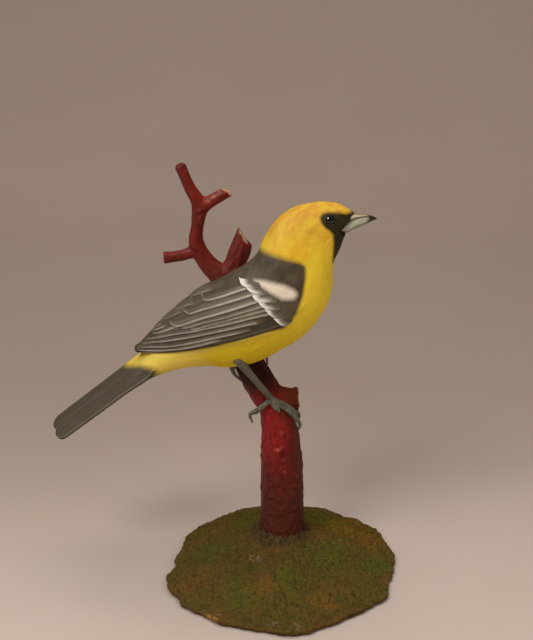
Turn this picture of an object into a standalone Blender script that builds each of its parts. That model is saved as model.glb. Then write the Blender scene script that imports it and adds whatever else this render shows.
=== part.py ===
"""A carved and painted songbird perched on a red branch that stands in a mossy mound.

Units are metres. +X is the way the bill points, +Y is away from the side that shows, +Z is up.
The origin is the middle of the mound's flat underside.
"""
import math

import bmesh
import bpy
from mathutils import Vector

# Bird: from the bill's tip to the tail's end, and its other sizes that stand alone
BIRD_LENGTH = 0.192
BIRD_Y = 0.001
BELLY_ABOVE_KNUCKLE = 0.027
PERCH_X = -0.015
EYE_DIAMETER = 0.0050
EYE_PROUD = 0.0012
FEATHER_LIFT = 0.0009
FEATHER_ROOT_DEPTH = 0.0012
WING_THICKNESS = 0.0026
TAIL_WIDTH = 0.0246
TAIL_THICKNESS = 0.0020
TAIL_FEATHER_STEP = 0.0007
TAIL_ROLL = math.radians(17)

# Legs and feet
TARSUS_DIAMETER = 0.0035
TOE_DIAMETER = 0.0029
CLAW_TIP_DIAMETER = 0.0007
LEG_SEAT_DEPTH = 0.0045
SEAT_CUTTER_REACH = 0.0070
NEAR_HEEL_RISE = 0.0038
FAR_HEEL_RISE = 0.0222

# Toes, each from the heel to the claw's tip: degrees round the branch from its near side,
# metres below the heel, metres from the bark to the toe's middle
NEAR_TOES = (
    ((37, 0.0048, 0.0022), (60, 0.0102, 0.0022), (69, 0.0152, 0.0034), (70, 0.0188, 0.0010)),
    ((34, 0.0024, 0.0022), (60, 0.0062, 0.0022), (82, 0.0110, 0.0032), (84, 0.0150, 0.0010)),
    ((10, 0.0028, 0.0018), (13, 0.0052, 0.0018), (15, 0.0070, 0.0010)),
    ((-26, 0.0030, 0.0022), (-52, 0.0080, 0.0040), (-66, 0.0118, 0.0062), (-72, 0.0160, 0.0046)),
)
FAR_TOES = (
    ((28, 0.0008, 0.0019), (56, 0.0016, 0.0022), (74, 0.0030, 0.0034), (76, 0.0052, 0.0012)),
    ((26, -0.0006, 0.0019), (60, -0.0006, 0.0022), (84, 0.0008, 0.0030), (90, 0.0034, 0.0010)),
    ((14, 0.0020, 0.0019), (36, 0.0034, 0.0019), (54, 0.0040, 0.0024), (62, 0.0052, 0.0010)),
    ((-36, 0.0016, 0.0019), (-62, 0.0050, 0.0022), (-74, 0.0092, 0.0024), (-80, 0.0126, 0.0008)),
)

# Branch: the post, the bend where the near foot holds it, and the stem behind the bird
POST_DIAMETER = 0.0228
KNUCKLE_DIAMETER = 0.0180
STEM_DIAMETER = 0.0140
TWIG_DIAMETER = 0.0064
KNUCKLE_HEIGHT = 0.0900
POST_X = 0.0014
POST_Y = 0.0120
KNUCKLE_Y = 0.0090
STEM_TO_BIRD = 0.0030
BRANCH_SIDES = 12
BRANCH_STEPS = 90
SHOOT_STEPS = 12

# Mound
BASE_WIDTH = 0.118
BASE_DEPTH = 0.130
RIM_THICKNESS = 0.0030
MOUND_HEIGHT = 0.0175
COLLAR_RISE = 0.0016
POST_SEAT_DEPTH = 0.0050

GAP = 0.0003

BIRD_SEGMENTS = 18
BODY_RINGS = 28
TWIST_START = 0.78

# Stations from the bill's root to the tail's root, in shares of the bird's length from the perch:
# top (along, up), bottom (along, up), half width
BODY = (
    (0.248, 0.382, 0.234, 0.331, 0.022),
    (0.224, 0.404, 0.231, 0.304, 0.039),
    (0.197, 0.413, 0.219, 0.277, 0.050),
    (0.157, 0.413, 0.210, 0.252, 0.057),
    (0.104, 0.399, 0.209, 0.222, 0.064),
    (0.061, 0.368, 0.208, 0.186, 0.074),
    (0.029, 0.316, 0.197, 0.145, 0.086),
    (0.012, 0.270, 0.172, 0.103, 0.096),
    (-0.012, 0.242, 0.135, 0.062, 0.103),
    (-0.055, 0.219, 0.085, 0.029, 0.105),
    (-0.095, 0.196, 0.023, -0.005, 0.101),
    (-0.131, 0.169, -0.043, -0.022, 0.091),
    (-0.172, 0.132, -0.112, -0.020, 0.075),
    (-0.222, 0.079, -0.168, -0.026, 0.059),
    (-0.272, 0.017, -0.229, -0.041, 0.050),
    (-0.312, -0.034, -0.287, -0.066, 0.047),
    (-0.352, -0.084, -0.348, -0.089, 0.048),
)

# Rows of the folded wings from the shoulder to the tips, in the same shares:
# back line (along, up), lower edge (along, up), half width at the lower edge
WING = (
    (0.070, 0.330, 0.150, 0.185, 0.078),
    (0.046, 0.302, 0.124, 0.150, 0.097),
    (0.024, 0.282, 0.097, 0.126, 0.105),
    (-0.006, 0.252, 0.060, 0.1145, 0.109),
    (-0.042, 0.230, 0.023, 0.1025, 0.1105),
    (-0.074, 0.212, -0.013, 0.091, 0.110),
    (-0.105, 0.196, -0.050, 0.080, 0.106),
    (-0.136, 0.178, -0.089, 0.069, 0.098),
    (-0.169, 0.151, -0.125, 0.058, 0.088),
    (-0.200, 0.124, -0.161, 0.048, 0.076),
    (-0.229, 0.097, -0.198, 0.0385, 0.0625),
    (-0.255, 0.070, -0.232, 0.031, 0.0485),
    (-0.281, 0.041, -0.266, 0.026, 0.0345),
    (-0.301, 0.016, -0.297, 0.018, 0.022),
)

# Feathers of one wing, lowest first: how far along the wing the quill starts and the tip ends,
# how far round from the back line (0) to the lower edge (1) they are there, and half the width
FLIGHT_FEATHERS = (
    (0.20, 0.945, 0.985, 0.68, 0.060),
    (0.22, 0.915, 0.965, 0.58, 0.062),
    (0.24, 0.875, 0.935, 0.49, 0.064),
    (0.24, 0.835, 0.895, 0.39, 0.066),
    (0.22, 0.790, 0.840, 0.28, 0.070),
    (0.22, 0.740, 0.760, 0.49, 0.070),
    (0.22, 0.680, 0.700, 0.47, 0.075),
    (0.22, 0.600, 0.710, 0.39, 0.100),
    (0.22, 0.480, 0.625, 0.31, 0.110),
    (0.22, 0.370, 0.515, 0.24, 0.120),
)
COVERT_COUNT = 7
COVERT_FIRST = (0.290, 0.30)
COVERT_LAST = (0.175, 0.95)
COVERT_LENGTH = 0.13
COVERT_HALF_WIDTH = 0.062

# The mound's outline: turn in degrees and reach as a share of the oval that the two sizes give
RIM = ((0, 1.015), (20, 1.03), (42, 1.05), (56, 1.01), (70, 1.03), (90, 0.98), (112, 1.00), (128, 0.935),
       (148, 0.95), (166, 0.92), (180, 0.925), (196, 1.01), (214, 1.03), (236, 1.015), (262, 0.995),
       (278, 1.04), (292, 0.99), (308, 0.98), (328, 1.03), (342, 0.985))

# Mandibles from the face to the tip: along, low, high and half width
UPPER_BILL = ((0.236, 0.362, 0.381, 0.020), (0.252, 0.3615, 0.3835, 0.0185), (0.272, 0.369, 0.382, 0.0130),
              (0.300, 0.3705, 0.3755, 0.0058), (0.316, 0.3655, 0.3680, 0.0014))
LOWER_BILL = ((0.229, 0.334, 0.362, 0.0195), (0.246, 0.3345, 0.3645, 0.0175), (0.268, 0.3435, 0.3705, 0.0120),
              (0.296, 0.3570, 0.3710, 0.0055), (0.312, 0.3645, 0.3680, 0.0016))
EYE_PLACE = (0.1985, 0.3755)

# Tail feathers of one side: place across the half width, reach and step below the middle one
TAIL_FEATHERS = ((0.66, 0.988, 2), (0.36, 1.000, 1))


def smooth_row(rows, place):
    """The row at a share of the way through a list of rows, on a curve through all of them."""
    last = len(rows) - 1
    spot = min(max(place, 0.0), 1.0) * last
    index = min(int(spot), last - 1)
    part = spot - index
    before = rows[max(index - 1, 0)]
    start, end = rows[index], rows[index + 1]
    after = rows[min(index + 2, last)]
    found = []
    for a, b, c, d in zip(before, start, end, after):
        found.append(0.5 * (2 * b + (c - a) * part + (2 * a - 5 * b + 4 * c - d) * part ** 2
                            + (3 * b - a - 3 * c + d) * part ** 3))
    return found


def from_perch(along, up, across=0.0):
    """A point of the bird, from shares of its length measured from the perch."""
    return Vector((PERCH_X + along * BIRD_LENGTH, BIRD_Y + across * BIRD_LENGTH,
                   KNUCKLE_HEIGHT + BELLY_ABOVE_KNUCKLE + up * BIRD_LENGTH))


def new_object(name, points, faces):
    """A closed solid from its faces, which are turned to point out."""
    mesh = bpy.data.meshes.new(name)
    mesh.from_pydata([tuple(point) for point in points], [], faces)
    turned = bmesh.new()
    turned.from_mesh(mesh)
    bmesh.ops.recalc_face_normals(turned, faces=turned.faces)
    turned.to_mesh(mesh)
    turned.free()
    shape = bpy.data.objects.new(name, mesh)
    bpy.context.scene.collection.objects.link(shape)
    return shape


def loft(name, rings):
    """A closed solid through rings of equally many points, with flat ends."""
    count = len(rings[0])
    points = [point for ring in rings for point in ring]
    faces = []
    for row in range(len(rings) - 1):
        for side in range(count):
            following = (side + 1) % count
            faces.append((row * count + side, row * count + following,
                          (row + 1) * count + following, (row + 1) * count + side))
    last = (len(rings) - 1) * count
    faces.append(tuple(reversed(range(count))))
    faces.append(tuple(last + side for side in range(count)))
    return new_object(name, points, faces)


def tube(name, route, sides, steps, taper_end=1.0, shape=None):
    """A round bar along a smooth curve through rows of x, y, z and radius."""
    rows = [smooth_row(route, step / steps) for step in range(steps + 1)]
    centres = [Vector(row[:3]) for row in rows]
    across = Vector((0.0, 1.0, 0.0))
    rings = []
    for index, centre in enumerate(centres):
        ahead = centres[min(index + 1, steps)] - centres[max(index - 1, 0)]
        ahead.normalize()
        across = (across - ahead * across.dot(ahead)).normalized()
        side = ahead.cross(across)
        radius = rows[index][3] * (taper_end if index == steps else 1.0)
        ring = []
        for corner in range(sides):
            turn = 2 * math.pi * corner / sides
            swell = shape(turn, index / steps) if shape else 1.0
            ring.append(centre + (across * math.cos(turn) + side * math.sin(turn)) * radius * swell)
        rings.append(ring)
    return loft(name, rings)


def combine(target, tools, operation, solver="EXACT"):
    """Joins the tools to the target, or cuts them from it, and removes them."""
    for tool in tools:
        modifier = target.modifiers.new(operation, "BOOLEAN")
        modifier.operation = operation
        modifier.solver = solver
        modifier.object = tool
    graph = bpy.context.evaluated_depsgraph_get()
    finished = bpy.data.meshes.new_from_object(target.evaluated_get(graph))
    target.modifiers.clear()
    target.data = finished
    for tool in tools:
        bpy.data.objects.remove(tool)


def body_ring(place, segments):
    top_x, top_z, low_x, low_z, half = smooth_row(BODY, place)
    middle = ((top_x + low_x) / 2, (top_z + low_z) / 2)
    rise = ((top_x - low_x) / 2, (top_z - low_z) / 2)
    reach = math.hypot(*rise)
    twist = TAIL_ROLL * max(0.0, (place - TWIST_START) / (1 - TWIST_START))
    ring = []
    for corner in range(segments):
        turn = 2 * math.pi * corner / segments
        height, width = math.cos(turn) * reach, math.sin(turn) * half
        raised = (width * math.sin(twist) + height * math.cos(twist)) / reach
        across = width * math.cos(twist) - height * math.sin(twist)
        ring.append(from_perch(middle[0] + rise[0] * raised, middle[1] + rise[1] * raised, across))
    return ring


def flank(along, up):
    """Half the body's width, as a share of the bird's length, at a point seen from the side."""
    best = (1.0, 0.0)
    for step in range(201):
        top_x, top_z, low_x, low_z, half = smooth_row(BODY, step / 200)
        middle_x, middle_z = (top_x + low_x) / 2, (top_z + low_z) / 2
        rise_x, rise_z = (top_x - low_x) / 2, (top_z - low_z) / 2
        reach = math.hypot(rise_x, rise_z)
        off_x, off_z = along - middle_x, up - middle_z
        height = (off_x * rise_x + off_z * rise_z) / reach ** 2
        miss = abs(off_x * rise_z - off_z * rise_x) / reach
        if miss < best[0] and abs(height) < 1:
            best = (miss, half * math.sqrt(1 - height ** 2))
    return best[1]


def wing_point(place, turn, lift=0.0):
    """A point on the folded wings: turn runs from the back line to the lower edge, below zero on
    the near side, and lift stands off the surface."""
    back_x, back_z, low_x, low_z, half = smooth_row(WING, place)
    drop = 1 - math.cos(turn * math.pi / 2)
    width = math.sin(turn * math.pi / 2)
    point = from_perch(back_x + (low_x - back_x) * drop, back_z + (low_z - back_z) * drop, half * width)
    fall = math.hypot(low_x - back_x, low_z - back_z)
    if lift and fall:
        up = Vector((back_x - low_x, 0.0, back_z - low_z)) / fall
        outward = up * math.cos(turn * math.pi / 2) * half + Vector((0, width * fall, 0))
        point += outward.normalized() * lift
    return point


def wing_cover():
    """The two folded wings as one smooth saddle over the back, feathers apart."""
    rows, columns = 16, 12
    rings = []
    for row in range(rows + 1):
        place = row / rows
        outer = [wing_point(place, -1 + 2 * column / columns) for column in range(columns + 1)]
        inner = [wing_point(place, 0.9 - 1.8 * column / columns, -WING_THICKNESS)
                 for column in range(columns + 1)]
        rings.append(outer + inner)
    return loft("wing_cover", rings)


def leaf_outline(share, blunt):
    """Half the width of a feather at a share of its length, rounded at the tip."""
    root = min(1.0, 0.75 + share)
    if share < 1 - blunt:
        return root
    return root * math.sqrt(max(0.0, 1 - ((share - 1 + blunt) / blunt) ** 2) + 0.0004)


def wing_feather(side, start, start_turn, end, end_turn, half_width, blunt=0.16, hollow=0.25):
    """One feather as a thin wedge on the wing: proud along its outer edge, sunk along the other."""
    upper, under = [], []
    for share in (0.0, (1 - blunt) * 0.35, (1 - blunt) * 0.7, 1 - blunt, 1 - blunt * 0.35, 1.0):
        place = start + (end - start) * share
        bend = hollow * (end_turn - start_turn) * share * (1 - share)
        middle = start_turn + (end_turn - start_turn) * share - bend
        wide = half_width * leaf_outline(share, blunt)
        root = min(1.0, share * 5 + 0.1)
        upper.append([wing_point(place, side * min(max(middle + wide * across, 0.02), 1.0), lift)
                      for across, lift in ((-1, -0.0001), (0.15, FEATHER_LIFT * 0.75 * root),
                                           (1, FEATHER_LIFT * root))])
        under.append([wing_point(place, side * min(max(middle + wide * across, 0.02), 1.0),
                                 -FEATHER_ROOT_DEPTH) for across in (1, -1)])
    return loft("feather", [top + low for top, low in zip(upper, under)])


def covert_row(side):
    """Short feathers whose rounded tips step down across the wing."""
    made = []
    for index in reversed(range(COVERT_COUNT)):
        share = index / (COVERT_COUNT - 1)
        tip = COVERT_FIRST[0] + (COVERT_LAST[0] - COVERT_FIRST[0]) * share ** 2
        turn = COVERT_FIRST[1] + (COVERT_LAST[1] - COVERT_FIRST[1]) * share
        turn = min(turn, 1 - COVERT_HALF_WIDTH)
        made.append(wing_feather(side, tip - COVERT_LENGTH, turn + 0.03, tip, turn,
                                 COVERT_HALF_WIDTH, blunt=0.35))
    return made


def tail_frame():
    """The tail's root, its way back, across and up, with the roll that shows its upper side."""
    root = from_perch(-0.250, -0.004)
    end = from_perch(-0.5085, -0.2065)
    back = (end - root).normalized()
    level = Vector((0.0, 1.0, 0.0))
    up = level.cross(back).normalized()
    across = level * math.cos(TAIL_ROLL) + up * math.sin(TAIL_ROLL)
    return root, back, across, across.cross(back).normalized(), (end - root).length


def tail_feather(middle, half, reach, step_down, steps=5):
    root, back, across, up, length = tail_frame()
    rings = []
    for step in range(steps + 1):
        share = math.sin(step / steps * math.pi / 2)
        blunt = math.sqrt(max(0.15, 1 - max(0.0, share - 0.96) ** 2 / 0.0019))
        flare = 0.84 + 0.16 * math.sin(min(1.0, share / 0.3) * math.pi / 2) - 0.08 * share
        wide = half * flare * blunt
        spread = middle * flare
        thick = TAIL_THICKNESS * (1.25 - 0.5 * share)
        centre = root + back * length * reach * share + across * spread - up * step_down * TAIL_FEATHER_STEP
        rings.append([centre + across * wide * a + up * thick * u
                      for a, u in ((-1, -0.30), (-1, 0.30), (0, 0.5), (1, 0.30), (1, -0.30), (0, -0.5))])
    return loft("tail_feather", rings)


def tail():
    half = TAIL_WIDTH / 2
    made = []
    for place, reach, step_down in TAIL_FEATHERS:
        for side in (-1, 1):
            made.append(tail_feather(side * half * place, half * 0.36, reach, step_down))
    made.append(tail_feather(0.0, half * 0.40, 0.992, 0))
    return made


def bill():
    """Two mandibles that meet at the gape line."""
    made = []
    for rows in (UPPER_BILL, LOWER_BILL):
        rings = []
        for step in range(7):
            along, low, high, half = smooth_row(rows, step / 6)
            ring = []
            for corner in range(10):
                turn = 2 * math.pi * corner / 10
                ring.append(from_perch(along, (low + high) / 2 + (high - low) / 2 * math.cos(turn),
                                       -half * math.sin(turn)))
            rings.append(ring)
        made.append(loft("mandible", rings))
    return made


def eye_centre(side):
    """The middle of an eye that stands a little proud of the head's side."""
    depth = flank(*EYE_PLACE) * BIRD_LENGTH + EYE_PROUD - EYE_DIAMETER / 2
    return from_perch(*EYE_PLACE) + Vector((0, side * depth, 0))


def ball(name, centre, radius, segments=10, rings=6):
    points = []
    for ring in range(1, rings):
        tilt = math.pi * ring / rings
        for corner in range(segments):
            turn = 2 * math.pi * corner / segments
            points.append(centre + radius * Vector((math.sin(tilt) * math.cos(turn), math.cos(tilt),
                                                    math.sin(tilt) * math.sin(turn))))
    faces = []
    for ring in range(rings - 2):
        for corner in range(segments):
            following = (corner + 1) % segments
            faces.append((ring * segments + corner, ring * segments + following,
                          (ring + 1) * segments + following, (ring + 1) * segments + corner))
    first, last = len(points), len(points) + 1
    points += [centre + Vector((0, radius, 0)), centre - Vector((0, radius, 0))]
    tail_ring = (rings - 2) * segments
    for corner in range(segments):
        following = (corner + 1) % segments
        faces.append((first, following, corner))
        faces.append((last, tail_ring + corner, tail_ring + following))
    return new_object(name, points, faces)


def branch_route():
    """The branch's middle line with its radius: post, knuckle, lean behind the bird, top twig."""
    post, knuckle, stem, twig = POST_DIAMETER / 2, KNUCKLE_DIAMETER / 2, STEM_DIAMETER / 2, TWIG_DIAMETER / 2
    seat = MOUND_HEIGHT - POST_SEAT_DEPTH + GAP
    behind = BIRD_Y + max(row[4] for row in WING) * BIRD_LENGTH + STEM_TO_BIRD + stem
    step = behind - KNUCKLE_Y
    bend = Vector((POST_X, KNUCKLE_Y, KNUCKLE_HEIGHT))
    rise = BIRD_LENGTH
    return (
        (bend.x, POST_Y, seat, post * 1.08),
        (bend.x, POST_Y, MOUND_HEIGHT + 0.003, post * 1.04),
        (bend.x - 0.0007, POST_Y, bend.z * 0.55, post * 0.99),
        (bend.x - 0.0015, (POST_Y + bend.y) / 2, bend.z * 0.74, post * 0.92),
        (bend.x - 0.0030, bend.y + 0.0004, bend.z - 0.012, knuckle * 0.98),
        (bend.x - 0.0046, bend.y + 0.0015, bend.z - 0.002, knuckle),
        (bend.x - 0.0090, bend.y + step * 0.14, bend.z + 0.026 * rise, knuckle * 1.00),
        (bend.x - 0.0146, bend.y + step * 0.28, bend.z + 0.066 * rise, stem * 1.20),
        (bend.x - 0.0190, bend.y + step * 0.48, bend.z + 0.107 * rise, stem * 1.10),
        (bend.x - 0.0232, bend.y + step * 0.78, bend.z + 0.172 * rise, stem),
        (bend.x - 0.0268, bend.y + step * 0.94, bend.z + 0.234 * rise, stem * 0.98),
        (bend.x - 0.0310, behind, bend.z + 0.297 * rise, stem * 0.94),
        (bend.x - 0.0392, behind + 0.0015, bend.z + 0.345 * rise, stem * 0.78),
        (bend.x - 0.0445, behind + 0.0015, bend.z + 0.395 * rise, stem * 0.66),
        (bend.x - 0.0423, behind + 0.0005, bend.z + 0.466 * rise, twig * 1.30),
        (bend.x - 0.0425, behind, bend.z + 0.512 * rise, twig * 1.38),
        (bend.x - 0.0470, behind - 0.0005, bend.z + 0.546 * rise, twig * 0.95),
        (bend.x - 0.0500, behind - 0.0010, bend.z + 0.584 * rise, twig * 0.80),
        (bend.x - 0.0522, behind - 0.0015, bend.z + 0.612 * rise, twig * 0.82),
    )


def side_routes():
    """The broken or cut side shoots, each from inside the stem to its end."""
    knuckle, stem, twig = KNUCKLE_DIAMETER / 2, STEM_DIAMETER / 2, TWIG_DIAMETER / 2
    main = branch_route()
    knuckle_row, fork, left, crown = main[5], main[11], main[13], main[15]
    return {
        "knuckle_stub": (
            (knuckle_row[0], knuckle_row[1], knuckle_row[2] + 0.002, knuckle * 0.80),
            (knuckle_row[0] + 0.006, knuckle_row[1] + 0.0005, knuckle_row[2] + 0.0026, knuckle * 0.72),
            (knuckle_row[0] + 0.0120, knuckle_row[1] + 0.001, knuckle_row[2] + 0.0032, knuckle * 0.66)),
        "broken_stub": (
            (fork[0] + 0.0010, fork[1], fork[2] + 0.001, stem * 0.72),
            (fork[0] + 0.0068, fork[1] + 0.0003, fork[2] + 0.011, stem * 0.73),
            (fork[0] + 0.0104, fork[1] + 0.0003, fork[2] + 0.021, stem * 0.68)),
        "left_twig": (
            (left[0] + 0.001, left[1], left[2] - 0.003, twig * 1.05),
            (left[0] - 0.007, left[1] - 0.0003, left[2] - 0.0062, twig * 0.98),
            (left[0] - 0.0162, left[1] - 0.001, left[2] - 0.0070, twig * 0.95)),
        "right_twig": (
            (crown[0], crown[1], crown[2] - 0.0030, twig * 1.30),
            (crown[0] + 0.0065, crown[1] - 0.0005, crown[2] + 0.0012, twig * 1.15),
            (crown[0] + 0.0150, crown[1] - 0.0010, crown[2] + 0.0052, twig * 0.92)),
    }


def branch_spine():
    """Points and radii close together along the branch and its shoots."""
    spots = []
    routes = [(branch_route(), BRANCH_STEPS)]
    routes += [(route, SHOOT_STEPS) for route in side_routes().values()]
    for route, count in routes:
        for step in range(count + 1):
            row = smooth_row(route, step / count)
            spots.append((Vector(row[:3]), row[3]))
    return spots


def clear_of_branch(point, radius, spine):
    """The point, moved straight out of the branch until a bar of this radius clears it."""
    point = Vector(point)
    for _ in range(4):
        depth, centre, thick = min(((point - centre).length - thick, centre, thick)
                                   for centre, thick in spine)
        if depth >= radius + GAP:
            break
        point = centre + (point - centre).normalized() * (thick + radius + GAP * 1.5)
    return point


def digit(name, points, spine, claw_share=0.42, steps=8):
    """A toe and its claw along points that lie on the branch or curl off it."""
    radius = TOE_DIAMETER / 2
    rows = []
    for step in range(steps + 1):
        share = step / steps
        thick = radius * (1.06 - 0.20 * share)
        if share > 1 - claw_share:
            fade = (1 - share) / claw_share
            thick = CLAW_TIP_DIAMETER / 2 + (radius * 0.70 - CLAW_TIP_DIAMETER / 2) * fade
        rows.append((*clear_of_branch(smooth_row(points, share), thick, spine), thick))
    return tube(name, rows, 6, steps)


def leg(name, hip, heel, toes, spine):
    """The bare lower leg from its seat in the belly to the toes that hold the branch."""
    radius = TARSUS_DIAMETER / 2
    heel = clear_of_branch(heel, TOE_DIAMETER / 2 * 1.08, spine)
    along = (heel - hip).normalized()
    rows = [(*(hip - along * (LEG_SEAT_DEPTH - GAP)), radius * 1.12),
            (*(hip + along * 0.002), radius * 1.18),
            (*hip.lerp(heel, 0.45), radius * 0.92),
            (*hip.lerp(heel, 0.80), radius * 0.92),
            (*heel, TOE_DIAMETER / 2 * 1.06)]
    shaft = tube(name, rows, 7, 5)
    pad = ball("pad", heel, TOE_DIAMETER / 2 * 1.05, 7, 5)
    digits = [digit("toe", [tuple(heel)] + list(points), spine) for points in toes]
    combine(shaft, [pad] + digits, "UNION")
    seat_radius = radius * 1.18 + GAP
    seat = tube("seat", [(*(hip - along * LEG_SEAT_DEPTH), seat_radius), (*hip, seat_radius),
                         (*(hip + along * SEAT_CUTTER_REACH), seat_radius)], 16, 2)
    return shaft, seat


def branch_at(height, spine):
    """The branch's middle and radius at a height, side shoots apart."""
    return min(spine[:BRANCH_STEPS + 1], key=lambda spot: abs(spot[0].z - height))


def on_bark(heel_height, turn, drop, off, spine):
    """A point beside the branch: degrees round it from its near side, below the heel, off the bark."""
    centre, radius = branch_at(heel_height - drop, spine)
    way = Vector((math.sin(math.radians(turn)), -math.cos(math.radians(turn)), 0.0))
    point = centre + way * (radius + off)
    point.z = heel_height - drop
    return point


def perching_leg(name, hip, heel_height, heel_turn, toes, spine):
    heel = on_bark(heel_height, heel_turn, 0.0, TOE_DIAMETER / 2 + GAP * 2, spine)
    digits = [[on_bark(heel_height, *place, spine) for place in toe] for toe in toes]
    return leg(name, hip, heel, digits, spine)


def near_leg(spine):
    return perching_leg("right_leg", from_perch(-0.040, 0.002, -0.050), KNUCKLE_HEIGHT + NEAR_HEEL_RISE,
                        18, NEAR_TOES, spine)


def far_leg(spine):
    return perching_leg("left_leg", from_perch(-0.052, 0.006, 0.044), KNUCKLE_HEIGHT + FAR_HEEL_RISE,
                        -6, FAR_TOES, spine)


def bark_swell(turn, share):
    """Shallow flutes that wander round the branch."""
    return 0.97 + 0.03 * math.sin(3 * turn + 9 * share) * math.cos(2 * turn - 14 * share)


def make_branch():
    shape = tube("branch", branch_route(), BRANCH_SIDES, 30, 0.8, bark_swell)
    routes = side_routes()
    shoots = [tube(name, route, 8, 3, 0.9) for name, route in routes.items()]
    stub_end = routes["broken_stub"][-1]
    point = Vector(stub_end[:3])
    spike = tube("spike", [(*point, stub_end[3]), (*(point + Vector((-0.0010, 0, 0.0035))), stub_end[3] * 0.62),
                           (*(point + Vector((-0.0022, 0, 0.0085))), stub_end[3] * 0.10)], 8, 3)
    combine(shape, shoots + [spike], "UNION")
    return shape


def rim_reach(turn):
    """How far the mound's edge lies from its middle, by straight rule between the outline's points."""
    degrees = math.degrees(turn) % 360
    looped = RIM + ((360 + RIM[0][0], RIM[0][1]),)
    for (start, low), (end, high) in zip(looped, looped[1:]):
        if start <= degrees <= end:
            part = (degrees - start) / (end - start)
            share = low + (high - low) * (1 - math.cos(math.pi * part)) / 2
            break
    oval = 1 / math.hypot(math.cos(turn) / (BASE_WIDTH / 2), math.sin(turn) / (BASE_DEPTH / 2))
    return share * oval


def mound_height(share, turn):
    """The mound's surface at a share of the way from the post to the rim."""
    swell = math.cos(share * math.pi / 2) ** 1.3
    collar = COLLAR_RISE * max(0.0, 1 - abs(share - 0.25) / 0.11)
    lumps = 0.0006 * math.sin(5 * turn + 7 * share) * math.sin(math.pi * share)
    return RIM_THICKNESS + (MOUND_HEIGHT - RIM_THICKNESS) * swell + collar + lumps


def make_base():
    segments = 36
    shares = (1.0, 0.985, 0.93, 0.80, 0.62, 0.46, 0.36, 0.27)
    post = Vector((POST_X, POST_Y, 0.0))
    rings = [[], []]
    for corner in range(segments):
        turn = 2 * math.pi * corner / segments
        edge = Vector((math.cos(turn), math.sin(turn), 0.0)) * rim_reach(turn)
        rings[0].append(edge * 0.985)
        rings[1].append(edge + Vector((0, 0, RIM_THICKNESS * 0.4)))
    for share in shares[1:]:
        ring = []
        for corner in range(segments):
            turn = 2 * math.pi * corner / segments
            edge = Vector((math.cos(turn), math.sin(turn), 0.0)) * rim_reach(turn)
            spot = post.lerp(edge, share)
            spot.z = mound_height(share, turn)
            ring.append(spot)
        rings.append(ring)
    shape = loft("mossy_base", rings)
    foot = branch_route()[0]
    seat_radius = foot[3] + GAP
    seat = tube("seat", [(foot[0], foot[1], foot[2] - GAP, seat_radius),
                         (foot[0], foot[1], MOUND_HEIGHT * 2, seat_radius)], 28, 2)
    combine(shape, [seat], "DIFFERENCE")
    return shape


def make_bird(leg_seats):
    rings = [body_ring(step / BODY_RINGS, BIRD_SEGMENTS) for step in range(BODY_RINGS + 1)]
    shape = loft("carved_bird", rings)
    parts = [wing_cover()] + bill() + tail()
    for side in (-1, 1):
        for start, start_turn, end, end_turn, half_width in FLIGHT_FEATHERS:
            parts.append(wing_feather(side, start, start_turn, end, end_turn, half_width))
        parts += covert_row(side)
    combine(shape, parts, "UNION", "MANIFOLD")
    sockets = [ball("socket", eye_centre(side), EYE_DIAMETER / 2 + GAP, 16, 10) for side in (-1, 1)]
    combine(shape, leg_seats + sockets, "DIFFERENCE", "MANIFOLD")
    return shape


def material(name, colour, roughness, metallic=0.0):
    made = bpy.data.materials.new(name)
    made.use_nodes = True
    shader = made.node_tree.nodes["Principled BSDF"]
    shader.inputs["Base Color"].default_value = (*colour, 1.0)
    shader.inputs["Roughness"].default_value = roughness
    shader.inputs["Metallic"].default_value = metallic
    return made


def finish(shape, made, angle=35):
    shape.data.materials.clear()
    shape.data.materials.append(made)
    shape.data.shade_smooth()
    shape.data.set_sharp_from_angle(angle=math.radians(angle))


def build():
    for old in list(bpy.data.objects):
        bpy.data.objects.remove(old)
    spine = branch_spine()
    right, right_seat = near_leg(spine)
    left, left_seat = far_leg(spine)
    bird = make_bird([right_seat, left_seat])
    feet = material("grey_leg_paint", (0.13, 0.13, 0.10), 0.6)
    glass = material("dark_eye_glass", (0.012, 0.008, 0.006), 0.08)
    finish(right, feet)
    finish(left, feet)
    finish(bird, material("yellow_and_grey_paint", (0.60, 0.38, 0.03), 0.55))
    finish(make_branch(), material("red_branch_paint", (0.17, 0.012, 0.010), 0.4), 50)
    finish(make_base(), material("mossy_mound_paint", (0.06, 0.06, 0.015), 0.9))
    for name, side in (("right_eye", -1), ("left_eye", 1)):
        finish(ball(name, eye_centre(side), EYE_DIAMETER / 2), glass)


build()
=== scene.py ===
"""Looks of a carved and painted songbird perched on a red branch that stands in a mossy mound."""
from math import cos, hypot, pi, radians, sin

import bmesh
import bpy
import numpy as np
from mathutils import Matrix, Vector, noise
from mathutils.kdtree import KDTree


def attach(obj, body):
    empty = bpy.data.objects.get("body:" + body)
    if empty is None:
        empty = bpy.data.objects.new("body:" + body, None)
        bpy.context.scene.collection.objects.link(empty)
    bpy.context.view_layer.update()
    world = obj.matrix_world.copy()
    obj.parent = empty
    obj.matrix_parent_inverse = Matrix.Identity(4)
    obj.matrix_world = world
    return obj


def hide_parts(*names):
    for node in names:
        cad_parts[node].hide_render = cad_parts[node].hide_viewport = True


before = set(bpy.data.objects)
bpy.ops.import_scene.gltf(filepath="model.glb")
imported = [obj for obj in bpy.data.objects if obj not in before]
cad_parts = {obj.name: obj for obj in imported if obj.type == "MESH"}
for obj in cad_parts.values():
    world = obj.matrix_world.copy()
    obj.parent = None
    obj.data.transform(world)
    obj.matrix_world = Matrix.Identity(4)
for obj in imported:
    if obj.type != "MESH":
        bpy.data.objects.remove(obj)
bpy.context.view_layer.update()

MM = 0.001
LENGTH = 0.192
PERCH = np.array((-0.015, 0.001, 0.117))
TAIL_ROLL = radians(17)
TWIST_START = 0.78
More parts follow.
